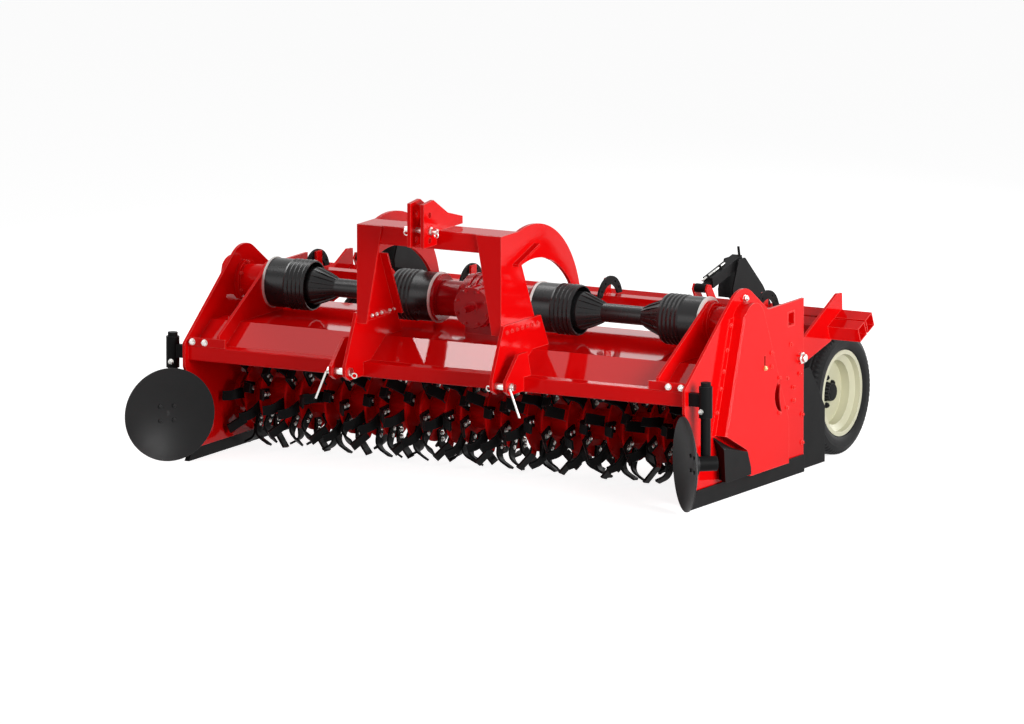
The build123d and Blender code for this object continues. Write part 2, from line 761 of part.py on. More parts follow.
# Ridging discs and the arms that carry them
disc_lean = radians(disc_turn)
disc_boss_r = 60.0
disc_boss_t = 18.0
hub_gap = 5.0
hub_start = disc_dish + disc_t + disc_boss_t + hub_gap
hub_cap = 8.0
dish_ball = (disc_r ** 2 + disc_dish ** 2) / (2 * disc_dish)
dish_mid = disc_dish - dish_ball + (dish_ball ** 2 - (disc_r / 2) ** 2) ** 0.5
for name, s in sides:
    way = (s * sin(disc_lean), cos(disc_lean), 0)
    across = (way[1], -way[0], 0)
    centre = (s * disc_half, front_y + disc_back, disc_z)
    disc_plane = Plane(origin=centre, x_dir=way, z_dir=across)
    disc_axis = Axis(centre, way)
    with BuildPart() as disc:
        with BuildSketch(disc_plane):
            with BuildLine():
                ThreePointArc((disc_dish, 0), (dish_mid, disc_r / 2), (0, disc_r))
                Line((0, disc_r), (disc_t, disc_r))
                ThreePointArc((disc_t, disc_r), (dish_mid + disc_t, disc_r / 2), (disc_dish + disc_t, 0))
                Line((disc_dish + disc_t, 0), (disc_dish, 0))
            make_face()
        revolve(axis=disc_axis)
        with BuildSketch(disc_plane):
            with BuildLine():
                Polyline((disc_dish + disc_t / 2, 0), (disc_dish + disc_t / 2, disc_boss_r),
                         (disc_dish + disc_t + disc_boss_t, disc_boss_r),
                         (disc_dish + disc_t + disc_boss_t, disc_stub_r),
                         (hub_start + disc_hub_len - hub_cap - hub_gap, disc_stub_r),
                         (hub_start + disc_hub_len - hub_cap - hub_gap, 0), close=True)
            make_face()
        revolve(axis=disc_axis)
    save(disc, f"disc_{name}")
    hub_mid = hub_start + disc_hub_len / 2
    hub_centre = disc_plane.from_local_coords((hub_mid, 0, 0))
    shank = Vector(s * shank_half, front_y + shank_back, disc_z)
    with BuildPart() as disc_arm:
        with BuildSketch(Plane(shank - Vector(0, 0, shank_r), x_dir=(1, 0, 0), z_dir=(0, 0, 1))):
            Circle(shank_r)
        extrude(amount=shank_top - disc_z + shank_r)
        with BuildSketch(Plane((shank.X, shank.Y, sleeve_bottom), x_dir=(1, 0, 0), z_dir=(0, 0, 1))):
            Circle(sleeve_r)
        extrude(amount=sleeve_top - sleeve_bottom)
        arm_len = shank_half - half_width - plate_t
        with Locations((s * (half_width + plate_t + arm_len / 2), shank.Y, arm_z)):
            Box(arm_len, sleeve_r, arm_h)
        with BuildSketch(Plane(shank, x_dir=(0, 0, 1), z_dir=hub_centre - shank)):
            Rectangle(2 * shank_r - 2, 2 * shank_r - 6)
        extrude(amount=(hub_centre - shank).length)
        with BuildSketch(Plane(disc_plane.from_local_coords((hub_start, 0, 0)), x_dir=across, z_dir=way)):
            Circle(disc_hub_r)
        extrude(amount=disc_hub_len)
        with BuildSketch(Plane(disc_plane.from_local_coords((hub_start, 0, 0)), x_dir=across, z_dir=way)):
            Circle(disc_stub_r + fit_gap)
        extrude(amount=disc_hub_len - hub_cap, mode=Mode.SUBTRACT)
    save(disc_arm, f"disc_arm_{name}")

# Wheel frame: a pair of square tubes carried by two swing plates
tilt = radians(frame_tilt)


def frame_plane(x):
    # side plane tipped with the wheel frame, from the tube pair's upper front edge
    return Plane(origin=(x, front_y + frame_corner[0], frame_corner[1]), x_dir=(0, cos(tilt), sin(tilt)),
                 z_dir=(1, 0, 0))


def frame_point(along, up):
    # the same place as back and height
    return (frame_corner[0] + along * cos(tilt) - up * sin(tilt),
            frame_corner[1] + along * sin(tilt) + up * cos(tilt))


tube_pitch = frame_tube + frame_tube_gap
with BuildPart() as frame_tubes:
    for i in range(2):
        with BuildSketch(frame_plane(-frame_half)):
            with Locations((i * tube_pitch + frame_tube / 2, -frame_tube / 2)):
                Rectangle(frame_tube, frame_tube)
                Rectangle(frame_tube - 2 * frame_tube_wall, frame_tube - 2 * frame_tube_wall,
                          mode=Mode.SUBTRACT)
        extrude(amount=2 * frame_half)
save(frame_tubes, "frame_tubes")

pivot_head_r = 30.0
pivot_head_t = 14.0
pivot_end = 18.0             # the pin's end beyond its nut
tubes_w = 2 * frame_tube + frame_tube_gap
swing_rim = 12.0             # the plate's edge round the tubes
swing_tip = 168.0            # the plate's upper corner, along the tubes and above them
swing_tip_up = 104.0
swing_tip_w = 48.0
with BuildPart() as swing_plates:
    for name, s in sides:
        with BuildSketch(side_plane(s * swing_half)):
            with BuildLine():
                Polyline((pivot_back - pivot_eye_r, pivot_z),
                         (pivot_back - pivot_eye_r / 2, pivot_z + pivot_eye_r),
                         frame_point(swing_tip, swing_tip_up),
                         frame_point(swing_tip + swing_tip_w, swing_tip_up - swing_tip_w / 2),
                         frame_point(tubes_w + swing_rim, 0),
                         frame_point(tubes_w + swing_rim, -frame_tube - swing_rim),
                         frame_point(0, -frame_tube - swing_rim),
                         (pivot_back + pivot_eye_r, pivot_z - pivot_eye_r),
                         (pivot_back - pivot_eye_r / 2, pivot_z - pivot_eye_r), close=True)
            make_face()
            with Locations((pivot_back, pivot_z)):
                Circle(pivot_eye_r)
        extrude(amount=s * swing_t)
        with BuildSketch(frame_plane(s * swing_half)):
            for i in range(2):
                with Locations((i * tube_pitch + frame_tube / 2, -frame_tube / 2)):
                    Rectangle(frame_tube, frame_tube)
        extrude(amount=s * swing_t, mode=Mode.SUBTRACT)
        with BuildSketch(side_plane(s * swing_half)):
            with Locations((pivot_back, pivot_z)):
                Circle(pivot_pin_r)
        extrude(amount=s * (half_width + plate_t + fit_gap + pivot_head_t + pivot_end - swing_half))
        with BuildSketch(side_plane(s * (half_width + plate_t + fit_gap))):
            with Locations((pivot_back, pivot_z)):
                Circle(pivot_head_r)
        extrude(amount=s * pivot_head_t)
save(swing_plates, "swing_plates")

# Towers for the screw jacks, two plates and a pin each, standing on the tubes
tower_gap = 72.0
tower_head_back = 46.0       # plate behind, ahead of and above the head pin
tower_head_front = 26.0
tower_head_up = 24.0
tower_outline = (frame_point(0, 0), frame_point(tubes_w, 0), (1690.0, 910.0),
                 (jack_head[0] + tower_head_back, jack_head[1] + tower_head_up),
                 (jack_head[0] - tower_head_front, jack_head[1] + tower_head_up),
                 (1345.0, 935.0), (1350.0, 892.0), (1470.0, 868.0), (1560.0, 800.0))
with BuildPart() as jack_towers:
    for name, s in sides:
        for x in (jack_half - tower_gap / 2 - tower_t, jack_half + tower_gap / 2):
            with BuildSketch(side_plane(s * x)):
                with BuildLine():
                    Polyline(*tower_outline, close=True)
                make_face()
            extrude(amount=s * tower_t)
        with BuildSketch(side_plane(s * (jack_half - tower_gap / 2))):
            with Locations(jack_head):
                Circle(jack_pin_r)
        extrude(amount=s * tower_gap)
save(jack_towers, "jack_towers")

# Wheel legs with their spindles
spindle_end = wheel_mid + 8.0
leg_foot = 46.0              # leg beside and under the spindle
leg_toe = 44.0
leg_knee_up = 66.0           # where the leg starts to widen
leg_knee_front = 62.0
hub_foot = leg_half + leg_size / 2 + move_gap
with BuildPart() as wheel_legs:
    for name, s in sides:
        with BuildSketch(side_plane(s * (leg_half - leg_size / 2))):
            with BuildLine():
                Polyline(frame_point(0, -frame_tube), frame_point(frame_tube, -frame_tube),
                         (wheel_back + leg_foot, wheel_z + leg_knee_up), (wheel_back + leg_foot, wheel_z - leg_toe),
                         (wheel_back - leg_foot, wheel_z - leg_toe),
                         (wheel_back - leg_knee_front, wheel_z + leg_knee_up), close=True)
            make_face()
        extrude(amount=s * leg_size)
        with BuildSketch(side_plane(s * (leg_half + leg_size / 2))):
            with Locations((wheel_back, wheel_z)):
                Circle(spindle_r)
        extrude(amount=s * (spindle_end - leg_half - leg_size / 2))
save(wheel_legs, "wheel_legs")

# Wheels: tyre, rim with a dished nave, hub
wheel_axis = Axis((0, front_y + wheel_back, wheel_z), (1, 0, 0))
rim_lip = 6.0
bead_r = rim_r - 16
well_r = bead_r - 36
rim_t = 6.0
nave_out = -26.0             # nave plate's place, outwards from the wheel's middle
nave_t = 8.0
rim_half = rim_w / 2
lip_in = rim_half - rim_lip
hub_flange_r = 78.0
hub_flange_t = 12.0
hub_out = wheel_mid + 22.0
rim_profile = ((-rim_half, rim_r), (-lip_in, rim_r), (-lip_in, bead_r), (-46, bead_r - 4), (-30, well_r),
               (30, well_r), (46, bead_r - 4), (lip_in, bead_r), (lip_in, rim_r), (rim_half, rim_r),
               (rim_half, bead_r - rim_t), (50, bead_r - 4 - rim_t), (34, well_r - rim_t),
               (nave_out + nave_t, well_r - rim_t), (nave_out + nave_t, wheel_hub_r + fit_gap),
               (nave_out, wheel_hub_r + fit_gap), (nave_out, well_r - rim_t), (-34, well_r - rim_t),
               (-50, bead_r - 4 - rim_t), (-rim_half, bead_r - rim_t))
tyre_half = tyre_w / 2
tyre_profile = ((-lip_in + fit_gap, bead_r + fit_gap), (-lip_in + fit_gap, rim_r), (-tyre_half + 8, rim_r + 10),
                (-tyre_half, (rim_r + tyre_r) / 2 - 8), (-tyre_half + 7, tyre_r - 28),
                (-tyre_half + 24, tyre_r - 7), (-tyre_half / 2, tyre_r))
for name, s in sides:
    with BuildPart() as tyre:
        with BuildSketch(axis_plane(s * wheel_mid, wheel_back, wheel_z)):
            with BuildLine():
                Polyline(*tyre_profile, *[(-x, r) for x, r in tyre_profile[::-1]], close=True)
            make_face()
        revolve(axis=wheel_axis)
    save(tyre, f"tyre_{name}")
    with BuildPart() as rim:
        with BuildSketch(axis_plane(s * wheel_mid, wheel_back, wheel_z)):
            with BuildLine():
                Polyline(*[(s * x, r) for x, r in rim_profile], close=True)
            make_face()
        revolve(axis=wheel_axis)
    save(rim, f"rim_{name}")
    with BuildPart() as hub:
        with BuildSketch(axis_plane(0, wheel_back, wheel_z)):
            with BuildLine():
                Polyline((s * hub_foot, spindle_r + fit_gap), (s * hub_foot, wheel_hub_r),
                         (s * (wheel_mid + nave_out - hub_flange_t), wheel_hub_r),
                         (s * (wheel_mid + nave_out - hub_flange_t), hub_flange_r),
                         (s * (wheel_mid + nave_out), hub_flange_r), (s * (wheel_mid + nave_out), wheel_hub_r),
                         (s * hub_out, wheel_hub_r), (s * hub_out, 0), (s * (spindle_end + hub_gap), 0),
                         (s * (spindle_end + hub_gap), spindle_r + fit_gap), close=True)
            make_face()
        revolve(axis=wheel_axis)
    save(hub, f"hub_{name}")

# Screw jacks: square body on the tower's pin, rod to the foot pin, crank at the back
jack_run = hypot(jack_head[0] - jack_foot[0], jack_head[1] - jack_foot[1])
jack_angle = atan2(jack_head[1] - jack_foot[1], jack_head[0] - jack_foot[0])
rod_in = 150.0               # rod's length inside the body
rod_room = 80.0              # bore left ahead of the rod
eye_half = 30.0
crank_up = 66.0
crank_down = 116.0
crank_r = 7.0
crank_spindle_r = 11.0
grip_r = 9.0
crank_grip = 104.0
crank_gap = 22.0


def jack_plane(x):
    # side plane along the jack: its axes run from the foot pin to the head pin, and upwards
    return Plane(origin=(x, front_y + jack_foot[0], jack_foot[1]),
                 x_dir=(0, cos(jack_angle), sin(jack_angle)), z_dir=(1, 0, 0))


def jack_end(along, up, x):
    # plane across the jack at a place along it
    spot = jack_plane(x).from_local_coords((along, up, 0))
    return Plane(origin=spot, x_dir=(1, 0, 0), z_dir=(0, cos(jack_angle), sin(jack_angle)))


for name, s in sides:
    x = s * jack_half
    with BuildPart() as jack_body:
        with BuildSketch(jack_end(jack_front, 0, x)):
            Rectangle(jack_size, jack_size)
        extrude(amount=jack_run + jack_tail - jack_front)
        with BuildSketch(jack_end(jack_front, 0, x)):
            Circle(jack_rod_r + fit_gap)
        extrude(amount=rod_in + rod_room, mode=Mode.SUBTRACT)
        with BuildSketch(jack_plane(x)):
            with Locations((jack_run, 0)):
                Circle(jack_pin_r + fit_gap)
        extrude(amount=jack_size, both=True, mode=Mode.SUBTRACT)
        with BuildSketch(jack_end(jack_run + jack_tail, 0, x)):
            Circle(crank_spindle_r)
        extrude(amount=crank_gap + crank_spindle_r)
        crank_at = jack_run + jack_tail + crank_gap
        with BuildSketch(Plane(jack_plane(x).from_local_coords((crank_at, -crank_down, 0)), x_dir=(1, 0, 0),
                               z_dir=jack_plane(x).y_dir)):
            Circle(crank_r)
        extrude(amount=crank_down + crank_up)
        with BuildSketch(jack_end(crank_at - grip_r, -crank_down, x)):
            Circle(grip_r)
        extrude(amount=crank_grip)
    save(jack_body, f"jack_body_{name}")
    with BuildPart() as jack_rod:
        with BuildSketch(jack_plane(x)):
            Circle(jack_eye_r)
        extrude(amount=eye_half, both=True)
        with BuildSketch(jack_end(0, 0, x)):
            Circle(jack_rod_r)
        extrude(amount=jack_front + rod_in)
        with BuildSketch(jack_plane(x)):
            Circle(jack_pin_r + jack_eye_play)
        extrude(amount=eye_half, both=True, mode=Mode.SUBTRACT)
    save(jack_rod, f"jack_rod_{name}")
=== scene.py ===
import json
import bpy
import numpy as np
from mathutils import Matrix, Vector


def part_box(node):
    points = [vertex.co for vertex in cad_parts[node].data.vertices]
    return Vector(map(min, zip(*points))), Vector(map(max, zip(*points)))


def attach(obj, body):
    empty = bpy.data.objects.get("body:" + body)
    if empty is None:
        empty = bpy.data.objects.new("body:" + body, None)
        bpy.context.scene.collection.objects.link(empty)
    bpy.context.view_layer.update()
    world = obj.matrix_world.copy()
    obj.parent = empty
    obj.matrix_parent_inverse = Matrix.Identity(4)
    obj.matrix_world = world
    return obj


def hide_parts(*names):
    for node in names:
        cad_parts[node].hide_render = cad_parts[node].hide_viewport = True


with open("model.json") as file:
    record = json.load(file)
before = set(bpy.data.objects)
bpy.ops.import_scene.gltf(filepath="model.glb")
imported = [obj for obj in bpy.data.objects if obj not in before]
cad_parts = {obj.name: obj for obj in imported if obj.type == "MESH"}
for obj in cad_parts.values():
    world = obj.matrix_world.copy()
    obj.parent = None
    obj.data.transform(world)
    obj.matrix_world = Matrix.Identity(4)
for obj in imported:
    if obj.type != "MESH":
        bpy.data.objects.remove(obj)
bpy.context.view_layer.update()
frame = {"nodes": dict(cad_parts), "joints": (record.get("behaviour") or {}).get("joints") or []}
nodes = frame["nodes"]
sides = (("left", -1), ("right", 1))
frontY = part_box("front_beam")[0][1]   # the front beam's front face; "back" below is counted from it
print("frame loaded:", len(nodes), "nodes")


# camera: far away behind a long lens, because the photograph has almost no perspective
view = dict(azimuth=28.4, elevation=10.08, distance=100.0, pixelsPerMetre=187.96, imageWidth=1024,
            aim=(0.138, frontY + 0.6, 0.584), sensor=36.0, clip=(1.0, 400.0))


def setCamera(v):
    # the camera stands on the line that leaves the aim at the azimuth and the elevation
    turn, rise = np.radians(v["azimuth"]), np.radians(v["elevation"])
    away = Vector((np.sin(turn) * np.cos(rise), -np.cos(turn) * np.cos(rise), np.sin(rise)))
    data = bpy.data.cameras.new("camera")
    data.sensor_width = v["sensor"]
    data.lens = v["sensor"] * v["pixelsPerMetre"] * v["distance"] / v["imageWidth"]
    data.clip_start, data.clip_end = v["clip"]
    camera = bpy.data.objects.new("camera", data)
    camera.location = Vector(v["aim"]) + away * v["distance"]
    camera.rotation_euler = (-away).to_track_quat("-Z", "Y").to_euler()
    bpy.context.scene.collection.objects.link(camera)
    bpy.context.scene.camera = camera


setCamera(view)
bpy.context.scene.view_settings.view_transform = "Standard"
print("camera set")


# light: a narrow strip overhead that the hood mirrors, a large key to the right, weaker ones all round
softboxes = dict(
    overhead=dict(place=(-1.78, 0.1, 3.95), aim=(0.0, -0.77, 0.68), size=(4.4, 0.62), watts=57.0),
    right=dict(place=(6.6, -2.7, 2.2), aim=(0.9, 0.0, 0.5), size=(3.2, 3.2), watts=430.0),
    front=dict(place=(-2.6, -6.0, 2.6), aim=(0.0, 0.0, 0.5), size=(4.0, 3.0), watts=60.0),
    behind=dict(place=(2.6, 6.8, 2.4), aim=(0.0, 0.4, 0.6), size=(4.0, 2.4), watts=230.0),
    left=dict(place=(-6.4, 2.2, 2.4), aim=(-0.9, 0.0, 0.5), size=(3.0, 3.0), watts=150.0))
surround = dict(fill=0.2, white=1.0)


def addSoftbox(name, box):
    # a rectangular lamp at its place, turned to face its aim
    data = bpy.data.lights.new(name, "AREA")
    data.shape = "RECTANGLE"
    data.size, data.size_y = box["size"]
    data.energy = box["watts"]
    lamp = bpy.data.objects.new(name, data)
    lamp.location = box["place"]
    lamp.rotation_euler = (Vector(box["aim"]) - Vector(box["place"])).to_track_quat("-Z", "Y").to_euler()
    bpy.context.scene.collection.objects.link(lamp)


def seenRays(tree):
    # 1 for a ray from the camera, off gloss or through glass, and 0 for one that only lights
    path = tree.nodes.new("ShaderNodeLightPath")
    total = path.outputs["Is Camera Ray"]
    for ray in ("Is Glossy Ray", "Is Transmission Ray"):
        top = tree.nodes.new("ShaderNodeMath")
        top.operation = "MAXIMUM"
        tree.links.new(total, top.inputs[0])
        tree.links.new(path.outputs[ray], top.inputs[1])
        total = top.outputs[0]
    return total


def setWorld(s):
    # white where the surroundings are seen, and only a weak fill where they light
    world = bpy.data.worlds.new("studio")
    bpy.context.scene.world = world
    world.use_nodes = True
    tree = world.node_tree
    tree.nodes.clear()
    mix = tree.nodes.new("ShaderNodeMixShader")
    for socket, level in ((1, s["fill"]), (2, s["white"])):
        sky = tree.nodes.new("ShaderNodeBackground")
        sky.inputs["Color"].default_value = (1, 1, 1, 1)
        sky.inputs["Strength"].default_value = level
        tree.links.new(sky.outputs[0], mix.inputs[socket])
    out = tree.nodes.new("ShaderNodeOutputWorld")
    tree.links.new(seenRays(tree), mix.inputs[0])
    tree.links.new(mix.outputs[0], out.inputs["Surface"])


paper = dict(reach=60.0, glow=0.86, albedo=0.5)


def setFloor(p):
    # a square sheet on the ground that glows almost white where it is seen, and still takes a faint shadow
    reach = np.array([-p["reach"], p["reach"]])
    x, y = np.meshgrid(reach, reach)
    points = np.stack([x, y, np.zeros_like(x)], axis=-1).reshape(-1, 3)
    mesh = bpy.data.meshes.new("floor")
    mesh.from_pydata(points.tolist(), [], [(0, 1, 3, 2)])
    floor = bpy.data.objects.new("floor", mesh)
    bpy.context.scene.collection.objects.link(floor)
    sheet = bpy.data.materials.new("floorPaper")
    sheet.use_nodes = True
    tree = sheet.node_tree
    tree.nodes.clear()
    diffuse = tree.nodes.new("ShaderNodeBsdfDiffuse")
    diffuse.inputs["Color"].default_value = (p["albedo"], p["albedo"], p["albedo"], 1)
    light = tree.nodes.new("ShaderNodeEmission")
    level = tree.nodes.new("ShaderNodeMath")
    level.operation = "MULTIPLY"
    level.inputs[1].default_value = p["glow"]
    tree.links.new(seenRays(tree), level.inputs[0])
    tree.links.new(level.outputs[0], light.inputs["Strength"])
    both = tree.nodes.new("ShaderNodeAddShader")
    out = tree.nodes.new("ShaderNodeOutputMaterial")
    tree.links.new(diffuse.outputs[0], both.inputs[0])
    tree.links.new(light.outputs[0], both.inputs[1])
    tree.links.new(both.outputs[0], out.inputs["Surface"])
    mesh.materials.append(sheet)


for boxName, softbox in softboxes.items():
    addSoftbox(boxName, softbox)
setWorld(surround)
setFloor(paper)
print("light and floor set")


# finishes: a colour with a slow drift in tone, a roughness that varies, a fine bump, and a painted highlight along
# edges
# each finish's edge colour is a painted highlight along its edges, in place of the light that rounded edges catch
finishes = dict(
    redPaint=dict(colour=(0.74, 0.0022, 0.0028), edge=(0.95, 0.16, 0.14), drift=0.05, driftScale=2.2,
                  rough=(0.05, 0.11), roughScale=9.0, bump=0.006, bumpScale=260.0, specular=0.06),
    hoodPaint=dict(colour=(0.72, 0.0022, 0.0028), edge=(0.95, 0.16, 0.14), drift=0.04, driftScale=1.6,
                   rough=(0.03, 0.07), roughScale=6.0, bump=0.003, bumpScale=200.0, specular=0.45),
    gearPaint=dict(colour=(0.40, 0.004, 0.008), edge=(0.62, 0.05, 0.05), drift=0.14, driftScale=7.0,
                   rough=(0.1, 0.24), roughScale=14.0, bump=0.12, bumpScale=70.0, specular=0.14),
    blackPaint=dict(colour=(0.009, 0.0091, 0.0094), edge=(0.05, 0.05, 0.052), drift=0.2, driftScale=3.0,
                    rough=(0.34, 0.5), roughScale=11.0, bump=0.05, bumpScale=180.0, specular=0.035),
    discSteel=dict(colour=(0.022, 0.022, 0.0225), edge=(0.08, 0.08, 0.08), drift=0.18, driftScale=4.0,
                   rough=(0.3, 0.42), roughScale=16.0, bump=0.04, bumpScale=120.0, specular=0.1),
    guardPlastic=dict(colour=(0.011, 0.011, 0.0115), edge=(0.04, 0.04, 0.042), drift=0.12, driftScale=5.0,
                      rough=(0.22, 0.34), roughScale=20.0, bump=0.05, bumpScale=400.0, specular=0.3),
    palePlastic=dict(colour=(0.74, 0.73, 0.70), edge=(0.8, 0.79, 0.77), drift=0.04, driftScale=6.0,
                     rough=(0.3, 0.42), roughScale=12.0, bump=0.03, bumpScale=200.0, specular=0.4),
    creamPaint=dict(colour=(0.57, 0.56, 0.40), edge=(0.86, 0.86, 0.70), drift=0.04, driftScale=4.0,
                    rough=(0.26, 0.4), roughScale=10.0, bump=0.02, bumpScale=160.0, specular=0.3),
    tyreRubber=dict(colour=(0.011, 0.011, 0.0115), edge=(0.02, 0.02, 0.021), drift=0.25, driftScale=6.0,
                    rough=(0.5, 0.68), roughScale=18.0, bump=0.12, bumpScale=240.0, specular=0.12),
    zincSteel=dict(colour=(0.70, 0.69, 0.66), edge=(0.84, 0.84, 0.82), drift=0.12, driftScale=25.0,
                   rough=(0.2, 0.36), roughScale=60.0, bump=0.05, bumpScale=500.0, specular=0.5, metal=1.0),
    brassSteel=dict(colour=(0.62, 0.47, 0.20), edge=(0.8, 0.7, 0.45), drift=0.1, driftScale=30.0,
                    rough=(0.22, 0.34), roughScale=50.0, bump=0.03, bumpScale=400.0, specular=0.5, metal=1.0))

# how fine each of the three noises is, the bump's depth, and how far from an edge the painted edge highlight reaches
grain = dict(driftDetail=3.0, roughDetail=4.0, bumpDetail=2.0, bumpDepth=0.002,
             edgeWidth=0.0035, edgeSamples=4, edgeTurn=(0.98, 0.75))


def noiseOn(tree, scale, detail):
    # noise in the object's own coordinates, which are metres in the machine's frame
    place = tree.nodes.new("ShaderNodeTexCoord")
    noise = tree.nodes.new("ShaderNodeTexNoise")
    noise.inputs["Scale"].default_value = scale
    noise.inputs["Detail"].default_value = detail
    tree.links.new(place.outputs["Object"], noise.inputs["Vector"])
    return noise.outputs["Fac"]


def mixColour(tree, factor, first, second):
    # a colour or a socket on each side, mixed by the factor socket
    mix = tree.nodes.new("ShaderNodeMix")
    mix.data_type = "RGBA"
    for socket, side in ((mix.inputs["A"], first), (mix.inputs["B"], second)):
        if isinstance(side, bpy.types.NodeSocket):
            tree.links.new(side, socket)
        else:
            socket.default_value = (*side, 1)
    tree.links.new(factor, mix.inputs["Factor"])
    return mix.outputs["Result"]


def tonedColour(tree, colour, drift, scale):
    # the colour times 1 - drift to 1 + drift along a slow noise
    low = [c * (1 - drift) for c in colour]
    high = [min(c * (1 + drift), 1.0) for c in colour]
    return mixColour(tree, noiseOn(tree, scale, grain["driftDetail"]), low, high)


def mathOn(tree, operation, first, second=None):
    # one step of arithmetic on sockets or plain numbers
    step = tree.nodes.new("ShaderNodeMath")
    step.operation = operation
    for socket, value in zip(step.inputs, (first, second)):
        if isinstance(value, bpy.types.NodeSocket):
            tree.links.new(value, socket)
        elif value is not None:
            socket.default_value = value
    return step.outputs[0]


def edgeHighlightMask(tree):
    # 1 on an edge and 0 away from it: how far the rounded normal turns from the flat one; this masks the painted edge
    #                                  highlight
    rounded = tree.nodes.new("ShaderNodeBevel")
    rounded.samples = grain["edgeSamples"]
    rounded.inputs["Radius"].default_value = grain["edgeWidth"]
    flat = tree.nodes.new("ShaderNodeNewGeometry")
    dot = tree.nodes.new("ShaderNodeVectorMath")
    dot.operation = "DOT_PRODUCT"
    tree.links.new(rounded.outputs["Normal"], dot.inputs[0])
    tree.links.new(flat.outputs["Normal"], dot.inputs[1])
    spread = tree.nodes.new("ShaderNodeMapRange")
    spread.inputs["From Min"].default_value, spread.inputs["From Max"].default_value = grain["edgeTurn"]
    tree.links.new(dot.outputs["Value"], spread.inputs["Value"])
    return spread.outputs["Result"]


def makeFinish(name, f, colourOf=None):
    # the toned colour, or the one that colourOf makes, with a painted highlight at edges, and roughness and bump from
    # noise
    finish = bpy.data.materials.new(name)
    finish.use_nodes = True
    tree = finish.node_tree
    shader = tree.nodes["Principled BSDF"]
    shader.inputs["Metallic"].default_value = f.get("metal", 0.0)
    shader.inputs["Specular IOR Level"].default_value = f["specular"]
    body = colourOf(tree) if colourOf else tonedColour(tree, f["colour"], f["drift"], f["driftScale"])
    # painted highlight: the edge colour is mixed into the base colour along edges
    tree.links.new(mixColour(tree, edgeHighlightMask(tree), body, f["edge"]), shader.inputs["Base Color"])
    spread = tree.nodes.new("ShaderNodeMapRange")
    spread.inputs["To Min"].default_value, spread.inputs["To Max"].default_value = f["rough"]
    tree.links.new(noiseOn(tree, f["roughScale"], grain["roughDetail"]), spread.inputs["Value"])
    tree.links.new(spread.outputs["Result"], shader.inputs["Roughness"])
    bump = tree.nodes.new("ShaderNodeBump")
    bump.inputs["Strength"].default_value = f["bump"]
    bump.inputs["Distance"].default_value = grain["bumpDepth"]
    tree.links.new(noiseOn(tree, f["bumpScale"], grain["bumpDetail"]), bump.inputs["Height"])
    tree.links.new(bump.outputs["Normal"], shader.inputs["Normal"])
    return finish


finishOf = {name: makeFinish(name, f) for name, f in finishes.items()}


def jointPlace(name):
    # where the axis of a joint passes, in the machine's frame
    return np.array(next(j for j in frame["joints"] if j["name"] == name)["pos_m"], dtype=float)


# rotor: red tube and flanges, black blades, told apart by their place along and around the shaft
# the rotor's edge colour is a dim painted edge highlight, dark red: lighter than the black blades and darker than the
# red flanges
rotor = dict(pitch=0.244, pairs=12, bladeSeat=0.053, bladeThick=0.012, flangeThick=0.014, bladeCount=8, start=38.0,
             twist=4.0, tubeRadius=0.088, boltRadii=(0.135, 0.172), boltThread=0.014, maskRoom=1.004,
             edge=(0.12, 0.02, 0.02))


def rotorColour(tree):
    # black outside the flanges' outer faces and off the tube, and red elsewhere
    axis = jointPlace("rotor_turn")
    place = tree.nodes.new("ShaderNodeTexCoord")
    split = tree.nodes.new("ShaderNodeSeparateXYZ")
    tree.links.new(place.outputs["Object"], split.inputs[0])
    stations = mathOn(tree, "ADD", mathOn(tree, "DIVIDE", split.outputs["X"], rotor["pitch"]), 0.5)
    away = mathOn(tree, "SUBTRACT", stations, mathOn(tree, "ROUND", stations))
    seat = rotor["maskRoom"] * rotor["bladeSeat"] / rotor["pitch"]
    outside = mathOn(tree, "GREATER_THAN", mathOn(tree, "ABSOLUTE", away), seat)
    across = mathOn(tree, "POWER", mathOn(tree, "SUBTRACT", split.outputs["Y"], float(axis[1])), 2.0)
    upward = mathOn(tree, "POWER", mathOn(tree, "SUBTRACT", split.outputs["Z"], float(axis[2])), 2.0)
    offTube = mathOn(tree, "GREATER_THAN", mathOn(tree, "ADD", across, upward), rotor["tubeRadius"] ** 2)
    red, black = finishes["redPaint"], finishes["blackPaint"]
    return mixColour(tree, mathOn(tree, "MULTIPLY", outside, offTube),
                     tonedColour(tree, red["colour"], red["drift"], red["driftScale"]),
                     tonedColour(tree, black["colour"], black["drift"], black["driftScale"]))


finishOf["rotorPaint"] = makeFinish("rotorPaint", dict(finishes["blackPaint"], edge=rotor["edge"]), rotorColour)

# which finish each CAD node wears; the rest are red
nodeFinish = dict(hood="hoodPaint", gearbox="gearPaint", case_guards="blackPaint", skids="blackPaint",
                  wing_plates="blackPaint", quadrants="blackPaint", disc_left="discSteel", disc_right="discSteel",
                  disc_arm_left="blackPaint", disc_arm_right="blackPaint", jack_towers="blackPaint",
                  jack_body_left="blackPaint", jack_body_right="blackPaint", jack_rod_left="blackPaint",
                  jack_rod_right="blackPaint", hub_left="blackPaint", hub_right="blackPaint",
                  shaft_guard_left="guardPlastic", shaft_guard_right="guardPlastic", guard_rings="palePlastic",
                  hitch_pins="zincSteel", top_link_pin="zincSteel", tyre_left="tyreRubber", tyre_right="tyreRubber",
                  rim_left="creamPaint", rim_right="creamPaint", rotor="rotorPaint")


def wear(piece, finish):
    # one finish all over the piece
    piece.data.materials.clear()
    piece.data.materials.append(finish)


for nodeName, node in nodes.items():
    wear(node, finishOf[nodeFinish.get(nodeName, "redPaint")])
print("finishes set")


def at(x, back, z):
    # a place from its distance behind the front beam's face
    return np.array([x, frontY + back, z])


